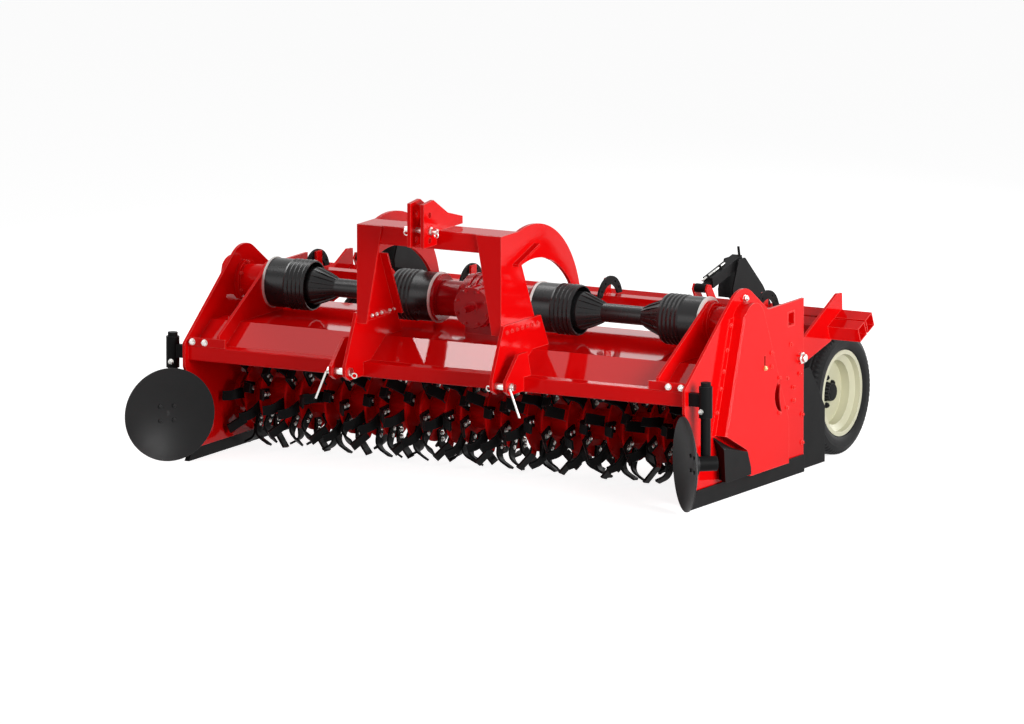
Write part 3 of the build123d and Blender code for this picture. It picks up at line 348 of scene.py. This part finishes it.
def makePiece(name, shape, finish, body, sharp=35.0):
    # points and faces as a mesh, smooth except where faces meet at more than the sharp angle, riding on its body
    points, faces = shape
    mesh = bpy.data.meshes.new(name)
    mesh.from_pydata(points.tolist(), [], faces)
    mesh.polygons.foreach_set("use_smooth", np.ones(len(mesh.polygons), dtype=bool))
    mesh.set_sharp_from_angle(angle=np.radians(sharp))
    piece = bpy.data.objects.new(name, mesh)
    bpy.context.scene.collection.objects.link(piece)
    wear(piece, finishOf[finish])
    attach(piece, body)
    return piece


def gridFaces(rows, columns, closeRows, closeColumns):
    # quads between neighbours of a grid of points, wrapped round where the grid closes on itself
    index = np.arange(rows * columns).reshape(rows, columns)
    index = np.vstack([index, index[:1]]) if closeRows else index
    index = np.hstack([index, index[:, :1]]) if closeColumns else index
    corners = (index[:-1, :-1], index[:-1, 1:], index[1:, 1:], index[1:, :-1])
    return np.stack(corners, axis=-1).reshape(-1, 4).tolist()


def ringFaces(rows, count):
    # the sides between rings of points, and one face across each end
    last = (rows - 1) * count
    ends = [list(range(count))[::-1], list(range(last, last + count))]
    return gridFaces(rows, count, False, True) + ends


def repeated(faces, pointCount, copies):
    # the same faces for every copy of the points, counted on from the copies before
    return [[corner + i * pointCount for corner in face] for i in range(copies) for face in faces]


def turned(profile, count):
    # rings of (radius, height) about +Z, one vertex per side, with a flat face on each end
    radius, height = np.array(profile, dtype=float).T
    angle = 2 * np.pi * np.arange(count) / count
    rows = np.stack([np.outer(radius, np.cos(angle)), np.outer(radius, np.sin(angle)),
                     np.repeat(height[:, None], count, axis=1)], axis=-1)
    return rows.reshape(-1, 3), ringFaces(len(profile), count)


def joined(shapes):
    # several shapes as one: the points one after another, the faces counted on from those before
    starts = np.cumsum([0] + [len(points) for points, faces in shapes])
    faces = [[corner + int(start) for corner in face] for start, (p, f) in zip(starts, shapes) for face in f]
    return np.vstack([points for points, f in shapes]), faces


def frames(axes):
    # for each axis a turn that carries +Z onto it
    axes = np.asarray(axes, dtype=float)
    axes = axes / np.linalg.norm(axes, axis=1, keepdims=True)
    helper = np.where(np.abs(axes[:, 2:]) < 0.9, [[0.0, 0.0, 1.0]], [[1.0, 0.0, 0.0]])
    first = np.cross(helper, axes)
    first = first / np.linalg.norm(first, axis=1, keepdims=True)
    return np.stack([first, np.cross(axes, first), axes], axis=-1)


def copied(shape, places, axes):
    # the shape at every place, with its +Z along that place's axis
    points, faces = shape
    spots = np.einsum("nij,vj->nvi", frames(axes), points) + np.asarray(places)[:, None, :]
    return spots.reshape(-1, 3), repeated(faces, len(points), len(spots))


def ringPlaces(count, radius, axis):
    # evenly spaced places on a circle across the axis, starting half a step round
    angle = 2 * np.pi * (np.arange(count) + 0.5) / count
    circle = radius * np.stack([np.cos(angle), np.sin(angle), 0 * angle], axis=-1)
    return circle @ frames(axis)[0].T


# bolts: (radius, height) along each profile in shares of the thread's diameter, and the sides round it
boltForm = dict(washer=((0.94, 0.0), (0.94, 0.17)), washerSides=18,
                head=((0.87, 0.1), (0.87, 0.7), (0.74, 0.8)), headSides=6,
                end=((0.46, 0.7), (0.46, 1.05), (0.36, 1.15)), endSides=12,
                screw=((0.85, 0.0), (0.85, 0.4), (0.7, 0.58), (0.4, 0.62)), screwSides=14)


def hexBolt(thread):
    # washer, six-sided head with a chamfered top, and the thread's end
    return joined([turned(thread * np.array(boltForm[part]), boltForm[part + "Sides"])
                   for part in ("washer", "head", "end")])


def capScrew(thread):
    # round head with a soft edge and a flat top
    return turned(thread * np.array(boltForm["screw"]), boltForm["screwSides"])


# bolts of the frame: each row is the places on the right side as x, back, height, the axis and the thread
frameBolts = dict(
    beamEnds=dict(places=((1.399, 0.0, 0.652), (1.474, 0.0, 0.652)), axis=(0, -1, 0), thread=0.019,
                  finish="zincSteel"),
    plateTop=dict(places=((1.515, 0.635, 1.037),), axis=(1, 0, 0), thread=0.022, finish="zincSteel"),
    discSleeve=dict(places=((1.6, -0.011, 0.535),), axis=(-0.25, -1, 0), thread=0.016, finish="zincSteel"),
    legFoot=dict(places=[(0.452, back, 0.868) for back in np.linspace(-0.04, 0.3, 7)], axis=(1, 0, 0), thread=0.012,
                 finish="redPaint"),
    legInside=dict(places=[(0.416, back, 0.872) for back in (0.06, 0.11, 0.16, 0.25, 0.3)], axis=(-1, 0, 0),
                   thread=0.012, finish="zincSteel"),
    coverEdge=dict(places=[(1.521, 0.482 - 0.205 * t, 0.954 - 0.602 * t) for t in (0.06, 0.27, 0.45, 0.6, 0.8)],
                   axis=(1, 0, 0), thread=0.012, finish="redPaint"),
    plateRear=dict(places=((1.515, 1.296, 0.309), (1.515, 1.296, 0.158), (1.515, 1.27, 0.532), (1.515, 1.197, 0.472),
                           (1.515, 1.2, 0.4), (1.515, 1.169, 0.706)),
                   axis=(1, 0, 0), thread=0.013, finish="redPaint"),
    coverFace=dict(places=((1.587, 0.811, 0.722), (1.587, 0.811, 0.648), (1.587, 0.985, 0.56), (1.587, 0.9, 0.575),
                           (1.587, 0.9, 0.385), (1.587, 0.985, 0.4)),
                   axis=(1, 0, 0), thread=0.012, finish="redPaint"),
    coverSlit=dict(places=((1.587, 0.733, 0.652),), axis=(1, 0, 0), thread=0.014, finish="brassSteel"))


def addFrameBolts(rows):
    # every row stands on both sides of the machine, mirrored across its middle
    for name, row in rows.items():
        mirror = np.array([[s, 1.0, 1.0] for sideName, s in sides])
        places = np.array([at(*place) for place in row["places"]])
        spots = (places[None] * mirror[:, None]).reshape(-1, 3)
        axes = np.repeat(np.array(row["axis"]) * mirror, len(places), axis=0)
        makePiece(name + "Bolts", copied(hexBolt(row["thread"]), spots, axes), row["finish"], "machine")


addFrameBolts(frameBolts)


def addRotorBolts(r):
    # two bolts on every blade's shank: stations along the shaft, blades around it
    station, blade, radius = np.meshgrid(np.arange(r["pairs"]), np.arange(r["bladeCount"]), np.array(r["boltRadii"]),
                                         indexing="ij")
    face = np.where(blade % 2, 1.0, -1.0)
    angle = np.radians(r["start"] + r["twist"] * station + 360.0 / r["bladeCount"] * blade)
    x = (station - (r["pairs"] - 1) / 2) * r["pitch"] + face * (r["bladeSeat"] + r["bladeThick"])
    spots = np.stack([x, -radius * np.sin(angle), radius * np.cos(angle)], axis=-1).reshape(-1, 3)
    axes = np.stack([face, 0 * face, 0 * face], axis=-1).reshape(-1, 3)
    makePiece("bladeBolts", copied(hexBolt(r["boltThread"]), spots + jointPlace("rotor_turn"), axes), "zincSteel",
              "rotor_body")


addRotorBolts(rotor)


# L-shaped hoes between the rotor's own blades: where the foot starts to bend, how far it bends, and its reach
hoe = dict(root=0.115, bendStart=0.204, bendRadius=0.06, bend=62.0, foot=0.045, width=0.062, tipWidth=0.05,
           thick=0.012, sweep=0.022, straightSteps=3, bendSteps=7, perFace=4, stagger=13.0, staggerStep=2.4,
           rows=((-1, -1, 45.0), (1, 1, 0.0), (-1, 1, 22.0), (1, -1, 67.0)))   # flange, way it bends, turn


def hoePath(h):
    # out along the radius, round an arc, then straight along the foot: (across the flange, along the radius)
    rise = np.linspace(h["root"], h["bendStart"], h["straightSteps"], endpoint=False)
    arc = np.radians(np.linspace(0.0, h["bend"], h["bendSteps"]))
    across = np.concatenate([0 * rise, h["bendRadius"] * (1 - np.cos(arc))])
    radius = np.concatenate([rise, h["bendStart"] + h["bendRadius"] * np.sin(arc)])
    lean = np.concatenate([0 * rise, arc])
    end = arc[-1]
    across = np.append(across, across[-1] + h["foot"] * np.sin(end))
    radius = np.append(radius, radius[-1] + h["foot"] * np.cos(end))
    return across, radius, np.append(lean, end)


def hoeShape(h):
    # a flat bar carried along the path: four corners a station, narrower and swept back towards the tip
    across, radius, lean = hoePath(h)
    along = np.linspace(0, 1, len(across))
    half = 0.5 * (h["width"] + (h["tipWidth"] - h["width"]) * along)
    back = -h["sweep"] * along ** 2
    sideways = np.array([-1.0, 1.0, 1.0, -1.0])
    outward = 0.5 * h["thick"] * np.array([-1.0, -1.0, 1.0, 1.0])
    x = across[:, None] + np.cos(lean)[:, None] * outward
    z = radius[:, None] - np.sin(lean)[:, None] * outward
    y = back[:, None] + half[:, None] * sideways
    return np.stack([x, y, z], axis=-1).reshape(-1, 3), ringFaces(len(across), 4)


def addHoes(h, r):
    # each hoe is the shape mirrored for the way it bends, turned round the shaft and carried to its flange
    points, faces = hoeShape(h)
    station, turn, row = [g.ravel() for g in np.meshgrid(np.arange(r["pairs"]), np.arange(h["perFace"]),
                                                         np.arange(len(h["rows"])), indexing="ij")]
    flange, bend, offset = np.array(h["rows"], dtype=float)[row].T
    angle = np.radians(r["start"] + r["twist"] * station + 360.0 / h["perFace"] * turn + offset
                       + h["stagger"] * np.sin(h["staggerStep"] * station + row))
    inside = r["bladeSeat"] - r["flangeThick"] - 0.5 * h["thick"]
    seat = np.where(flange == bend, r["bladeSeat"] + 0.5 * h["thick"], inside)
    x = (station - (r["pairs"] - 1) / 2) * r["pitch"] + flange * seat
    px, py, pz = points.T
    spots = np.stack([x[:, None] + bend[:, None] * px, py * np.cos(angle)[:, None] - pz * np.sin(angle)[:, None],
                      py * np.sin(angle)[:, None] + pz * np.cos(angle)[:, None]], axis=-1)
    flipped = [list(corners)[::-1] for corners in faces]
    corners = [[c + i * len(points) for c in f] for i in range(len(x)) for f in (flipped if bend[i] < 0 else faces)]
    makePiece("hoeBlades", (spots.reshape(-1, 3) + jointPlace("rotor_turn"), corners), "blackPaint", "rotor_body")
    radius, which = [g.ravel() for g in np.meshgrid(np.array(r["boltRadii"]), np.arange(len(x)), indexing="ij")]
    bolts = np.stack([x[which] + bend[which] * 0.5 * h["thick"], -radius * np.sin(angle[which]),
                      radius * np.cos(angle[which])], axis=-1)
    axes = np.stack([bend[which], 0 * radius, 0 * radius], axis=-1)
    makePiece("hoeBolts", copied(capScrew(r["boltThread"]), bolts + jointPlace("rotor_turn"), axes), "zincSteel",
              "rotor_body")


addHoes(hoe, rotor)
print("bolts and hoes added")


# the line of the cross shafts, behind the front beam and above the ground, and the gearbox's front face
drive = dict(back=0.615, height=0.895, noseBack=0.405)

# rings of bolts round an axis: centre as x, back, height, the axis, the ring's radius, how many, and the thread
boltRings = dict(
    gearboxNose=dict(centre=(0.0, drive["noseBack"], drive["height"]), axis=(0, -1, 0), radius=0.094, count=8,
                     thread=0.013, finish="gearPaint"),
    bearingInner_left=dict(centre=(-1.478, drive["back"], drive["height"]), axis=(1, 0, 0), radius=0.092, count=6,
                           thread=0.013, finish="redPaint"),
    bearingInner_right=dict(centre=(1.478, drive["back"], drive["height"]), axis=(-1, 0, 0), radius=0.092, count=6,
                            thread=0.013, finish="redPaint"))


def addBoltRings(rings):
    # the bolts of a ring stand on a circle across its axis and point along it
    for name, ring in rings.items():
        axis = np.array([ring["axis"]], dtype=float)
        spots = ringPlaces(ring["count"], ring["radius"], axis) + at(*ring["centre"])
        bolts = copied(hexBolt(ring["thread"]), spots, np.repeat(axis, len(spots), axis=0))
        makePiece(name + "Bolts", bolts, ring["finish"], "machine")


addBoltRings(boltRings)


# gearbox: cast ribs along its nose, and a thin seal round the input shaft
noseRibs = dict(centre=(0.0, drive["noseBack"], drive["height"]), start=0.012, run=0.074, radius=0.108, count=16,
                halfWidth=0.0055, height=0.009, sink=0.004, stations=7, fade=(0.06, 0.88, 0.4),
                corners=(-1.0, -0.6, 0.6, 1.0), sealRadius=0.034, sealHeight=0.004, sealTop=0.8, sealEdge=0.7,
                sealSides=24)


def ridgeSection(d, t):
    # four corners across a ridge: feet sunk a little, tops lifted by a power of a sine that fades at both ends
    first, share, power = d["fade"]
    lift = d["height"] * np.sin(np.pi * (first + share * t)) ** power
    foot = 0 * lift - d["sink"]
    return np.stack([foot, lift, lift, foot], axis=-1)


def ribRing(r):
    # ridges about +Z: stations along it, and four corners across each rib
    t = np.linspace(0, 1, r["stations"])
    angle = 2 * np.pi * np.arange(r["count"]) / r["count"]
    rim = r["radius"] + ridgeSection(r, t)
    turn = angle[:, None, None] + np.array(r["corners"]) * r["halfWidth"] / r["radius"] + 0 * t[:, None]
    height = (r["start"] + r["run"] * t)[:, None] + 0 * turn
    points = np.stack([rim * np.cos(turn), rim * np.sin(turn), height], axis=-1)
    faces = [face[::-1] for face in ringFaces(len(t), 4)]
    return points.reshape(-1, 3), repeated(faces, 4 * len(t), r["count"])


def addGearboxRibs(r):
    # the ribs run back from the nose's face, and the seal stands in front of it
    face = at(*r["centre"])[None]
    seal = turned(((r["sealRadius"], 0.0), (r["sealRadius"], r["sealEdge"] * r["sealHeight"]),
                   (r["sealTop"] * r["sealRadius"], r["sealHeight"])), r["sealSides"])
    ribs = copied(ribRing(r), face, [[0, 1, 0]])
    makePiece("gearboxRibs", joined([ribs, copied(seal, face, [[0, -1, 0]])]), "gearPaint", "machine")


addGearboxRibs(noseRibs)


# shaft guards: flutes along the four cones, from the mouth of each bell down to the tube
flute = dict(mouths=((0.549, 1.0), (1.069, -1.0)), start=0.016, run=0.124, wide=0.1, narrow=0.05, count=16,
             halfWidth=0.006, height=0.007, sink=0.003, stations=9, fade=(0.04, 0.92, 0.5),
             corners=(-1.0, -0.5, 0.5, 1.0), taper=(0.6, 0.4))


def coneFlutes(f, s, mouth, way):
    # a ridge per flute: stations along the cone, four corners across it, narrower towards the tube
    t = np.linspace(0, 1, f["stations"])
    radius = f["wide"] + (f["narrow"] - f["wide"]) * t
    angle = 2 * np.pi * np.arange(f["count"]) / f["count"]
    rim = ridgeSection(f, t) + radius[:, None]
    width = (f["taper"][0] + f["taper"][1] * (1 - t))[:, None]
    turn = angle[:, None, None] + np.array(f["corners"]) * f["halfWidth"] / radius[:, None] * width
    x = s * (mouth + way * (f["start"] + f["run"] * t))[:, None] + 0 * turn
    points = np.stack([x, rim * np.cos(turn), rim * np.sin(turn)], axis=-1).reshape(-1, 3)
    faces = ringFaces(len(t), 4)
    faces = faces if s * way > 0 else [face[::-1] for face in faces]
    return points + at(0.0, drive["back"], drive["height"]), repeated(faces, 4 * len(t), f["count"])


def addFlutes(f):
    # two cones on each side of the machine, mouth to mouth
    for sideName, s in sides:
        cones = [coneFlutes(f, s, mouth, way) for mouth, way in f["mouths"]]
        makePiece("guardFlutes_" + sideName, joined(cones), "guardPlastic", "machine")


addFlutes(flute)


# clips: a wire ring through the end of each pin, as centre x, back, height, the ring's axis and its radius
clips = dict(rings=((0.089, -0.15, 1.377, (0.25, 1.0, 0.1), 0.014), (-0.089, -0.15, 1.377, (-0.25, 1.0, 0.1), 0.014),
                    (0.404, -0.154, 0.582, (0.3, 1.0, 0.2), 0.014), (-0.404, -0.154, 0.582, (-0.3, 1.0, 0.2), 0.014)),
             wire=0.0032, turns=28, sides=8)


def clipShape(radius, wire, turns, count):
    # a torus about +Z: round the ring, then round the wire
    around, section = np.meshgrid(2 * np.pi * np.arange(turns) / turns, 2 * np.pi * np.arange(count) / count,
                                  indexing="ij")
    r = radius + wire * np.cos(section)
    points = np.stack([r * np.cos(around), r * np.sin(around), wire * np.sin(section)], axis=-1)
    return points.reshape(-1, 3), [face[::-1] for face in gridFaces(turns, count, True, True)]


def addClips(c):
    # one ring at the end of each pin, all in one piece
    rings = [copied(clipShape(radius, c["wire"], c["turns"], c["sides"]), at(x, back, z)[None], [axis])
             for x, back, z, axis, radius in c["rings"]]
    makePiece("pinClips", joined(rings), "zincSteel", "machine")


addClips(clips)


# jacks: a bright depth rod on two clamps along the top of each body
depthRod = dict(half=1.028, start=(1.078, 1.0236), end=(1.335, 1.08), radius=0.0055, chamfer=0.004, endShare=0.7,
                rodSides=14, clampRadius=0.011, clampLength=0.016, clampChamfer=0.003, clampEnd=0.8, clampSides=6,
                clampPlaces=(0.2, 0.75))


def chamfered(radius, length, chamfer, endShare, count):
    # a bar along +Z that narrows over the chamfer at both ends
    return turned(((endShare * radius, 0.0), (radius, chamfer), (radius, length - chamfer),
                   (endShare * radius, length)), count)


def addDepthRods(d):
    # the rod runs from its start to its end, and the clamps sit at shares of that run
    for sideName, s in sides:
        first, last = at(s * d["half"], *d["start"]), at(s * d["half"], *d["end"])
        run = last - first
        rod = chamfered(d["radius"], np.linalg.norm(run), d["chamfer"], d["endShare"], d["rodSides"])
        makePiece("depthRod_" + sideName, copied(rod, first[None], run[None]), "zincSteel", "jack_" + sideName)
        clamp = chamfered(d["clampRadius"], d["clampLength"], d["clampChamfer"], d["clampEnd"], d["clampSides"])
        spots = np.array([first + share * run for share in d["clampPlaces"]])
        axes = np.repeat(run[None], len(spots), axis=0)
        makePiece("rodClamps_" + sideName, copied(clamp, spots, axes), "blackPaint", "jack_" + sideName)


addDepthRods(depthRod)


# discs: four flat screws round the middle of each, in the hollow that faces forward
discScrews = dict(turn=48.0, radius=0.055, depth=0.0439, count=4, thread=0.013)


def addDiscScrews(d, sideName, s):
    # the ring lies across the disc's axis, which turns outward and back from straight ahead
    lean = np.radians(d["turn"])
    back = np.array([[s * np.sin(lean), np.cos(lean), 0.0]])
    middle = jointPlace("disc_" + sideName + "_turn") + d["depth"] * back
    spots = middle + ringPlaces(d["count"], d["radius"], back)
    shape = copied(capScrew(d["thread"]), spots, np.repeat(-back, d["count"], axis=0))
    makePiece("discScrews_" + sideName, shape, "discSteel", "disc_" + sideName + "_body")


# wheel arms: the pivot's nut and the end of its pin, outside each side plate
pivotNut = dict(place=(1.5152, 1.275, 0.618), hexRadius=0.034, hexDepth=0.019, hexEdge=0.85, hexTop=0.86,
                pinRadius=0.0215, pinEnd=0.036, pinChamfer=0.003, pinSides=20)


def pivotNutShape(n):
    # six sides with a chamfered rim, then the round pin
    nut = turned(((n["hexRadius"], 0.0), (n["hexRadius"], n["hexEdge"] * n["hexDepth"]),
                  (n["hexTop"] * n["hexRadius"], n["hexDepth"])), 6)
    pin = turned(((n["pinRadius"], 0.5 * n["hexDepth"]), (n["pinRadius"], n["pinEnd"] - n["pinChamfer"]),
                  (n["pinRadius"] - n["pinChamfer"], n["pinEnd"])), n["pinSides"])
    return joined([nut, pin])


def addPivotNut(n, sideName, s):
    # at its place on the right, and mirrored across the middle on the left
    place = at(*n["place"]) * (s, 1, 1)
    shape = copied(pivotNutShape(n), place[None], [[s, 0, 0]])
    makePiece("pivotNut_" + sideName, shape, "zincSteel", "wheel_frame")


for sideName, s in sides:
    addDiscScrews(discScrews, sideName, s)
    addPivotNut(pivotNut, sideName, s)
print("guards, clips, jacks and discs dressed")


# wheels: a tyre with ribs and shoulder lugs, a fluted hub cap and studs round it
wheel = dict(control=((0.0737, 0.2163), (0.0737, 0.233), (0.0875, 0.243), (0.095, 0.2755), (0.089, 0.306),
                      (0.0735, 0.3268), (0.0475, 0.3338), (0.0, 0.3345)),   # half section: from the middle, radius
             steps=6, turns=288, crease=28.0, treadFrom=0.312, grooves=(0.0, 0.034), grooveWidth=0.004,
             grooveDepth=0.008, lugCount=72, lugFrom=0.05, lugDepth=0.006, lugGap=0.35,
             wallFrom=0.085, ringRadii=(0.256, 0.292), ringSpread=0.003, ringHeight=0.0016,
             naveOut=-0.018, studCount=6, studRadius=0.075, studThread=0.017)
hubCap = dict(radius=0.0485, length=0.046, bore=0.0464, boreDepth=0.0408, flutes=14, fluteDepth=0.035, perFlute=8,
              rings=((1.1, 0.0, 0.0), (1.06, 0.12, 0.7), (1.0, 0.16, 0.93), (0.98, 0.6, 1.0), (0.96, 0.86, 0.93),
                     (0.82, 1.0, 0.7), (0.5, 1.02, 0.0)))   # shares of the radius, the length and the flutes' depth


def smoothLine(control, steps):
    # a curve through the control points: each span leaves and arrives along the chord of its neighbours
    p = np.array(control, dtype=float)
    p = np.vstack([2 * p[0] - p[1], p, 2 * p[-1] - p[-2]])
    t = (np.arange(steps) / steps)[None, :, None]
    a, b, c, d = (p[i:len(p) - 3 + i, None, :] for i in range(4))
    spans = 0.5 * (2 * b + (c - a) * t + (2 * a - 5 * b + 4 * c - d) * t ** 2 + (3 * b - a - 3 * c + d) * t ** 3)
    return np.vstack([spans.reshape(-1, 2), p[-2]])


def tyreShape(w, centre):
    # section (x, radius) turned about the axle: grooves and lugs lower the tread, two thin rings lift the wall
    half = smoothLine(w["control"], w["steps"])
    section = np.vstack([half, half[-2::-1] * (-1, 1)])
    x, radius = section.T
    lift = sum(np.exp(-((radius - ring) / w["ringSpread"]) ** 2) for ring in w["ringRadii"]) * w["ringHeight"]
    x = x + np.sign(x) * np.where(np.abs(x) > w["wallFrom"], lift - w["ringHeight"], 0.0)
    angle = 2 * np.pi * np.arange(w["turns"]) / w["turns"]
    groove = sum(np.abs(np.abs(x) - place) < w["grooveWidth"] for place in w["grooves"]) > 0
    tread = radius > w["treadFrom"]
    shoulder = tread & (np.abs(x) > w["lugFrom"])
    gap = np.sin(w["lugCount"] * angle) > w["lugGap"]
    depth = groove[None, :] * w["grooveDepth"] + (shoulder[None, :] & gap[:, None]) * w["lugDepth"]
    r = radius[None, :] - np.where(tread[None, :], depth, 0.0)
    points = np.stack([np.broadcast_to(x, r.shape), -r * np.sin(angle)[:, None], r * np.cos(angle)[:, None]], axis=-1)
    return points.reshape(-1, 3) + centre, gridFaces(len(angle), len(x), True, True)


def hubCapShape(c):
    # a hollow cup over the hub: the bore's end and rim, then the outer rings, whose radius waves round for the flutes
    radius, height, ripple = np.array(c["rings"]).T
    radius = np.concatenate([[c["bore"], c["bore"]], c["radius"] * radius])
    height = np.concatenate([[c["boreDepth"], 0.0], c["length"] * height])
    ripple = np.concatenate([[0.0, 0.0], ripple])
    count = c["perFlute"] * c["flutes"]
    angle = 2 * np.pi * np.arange(count) / count
    r = radius[:, None] * (1 + c["fluteDepth"] * np.outer(ripple, np.cos(c["flutes"] * angle)))
    rows = np.stack([r * np.cos(angle), r * np.sin(angle), np.repeat(height[:, None], count, axis=1)], axis=-1)
    return rows.reshape(-1, 3), ringFaces(len(radius), count)


def dressWheel(w, sideName, s):
    # the tyre stands in for the plain one, and the studs and the cap stand on the nave's face
    centre = jointPlace("wheel_" + sideName + "_turn")
    tyre = makePiece("tyreTread_" + sideName, tyreShape(w, centre), "tyreRubber", "wheel_" + sideName, w["crease"])
    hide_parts("tyre_" + sideName)
    nave = centre + np.array([s * w["naveOut"], 0.0, 0.0])
    angle = 2 * np.pi * np.arange(w["studCount"]) / w["studCount"]
    ring = w["studRadius"] * np.stack([0 * angle, np.sin(angle), np.cos(angle)], axis=-1)
    axes = np.repeat([[s, 0.0, 0.0]], len(angle), axis=0)
    studs = copied(hexBolt(w["studThread"]), nave + ring, axes)
    cap = copied(hubCapShape(hubCap), nave[None], axes[:1])
    makePiece("hubCap_" + sideName, joined([studs, cap]), "blackPaint", "wheel_" + sideName)


for sideName, s in sides:
    dressWheel(wheel, sideName, s)
print("wheels dressed")
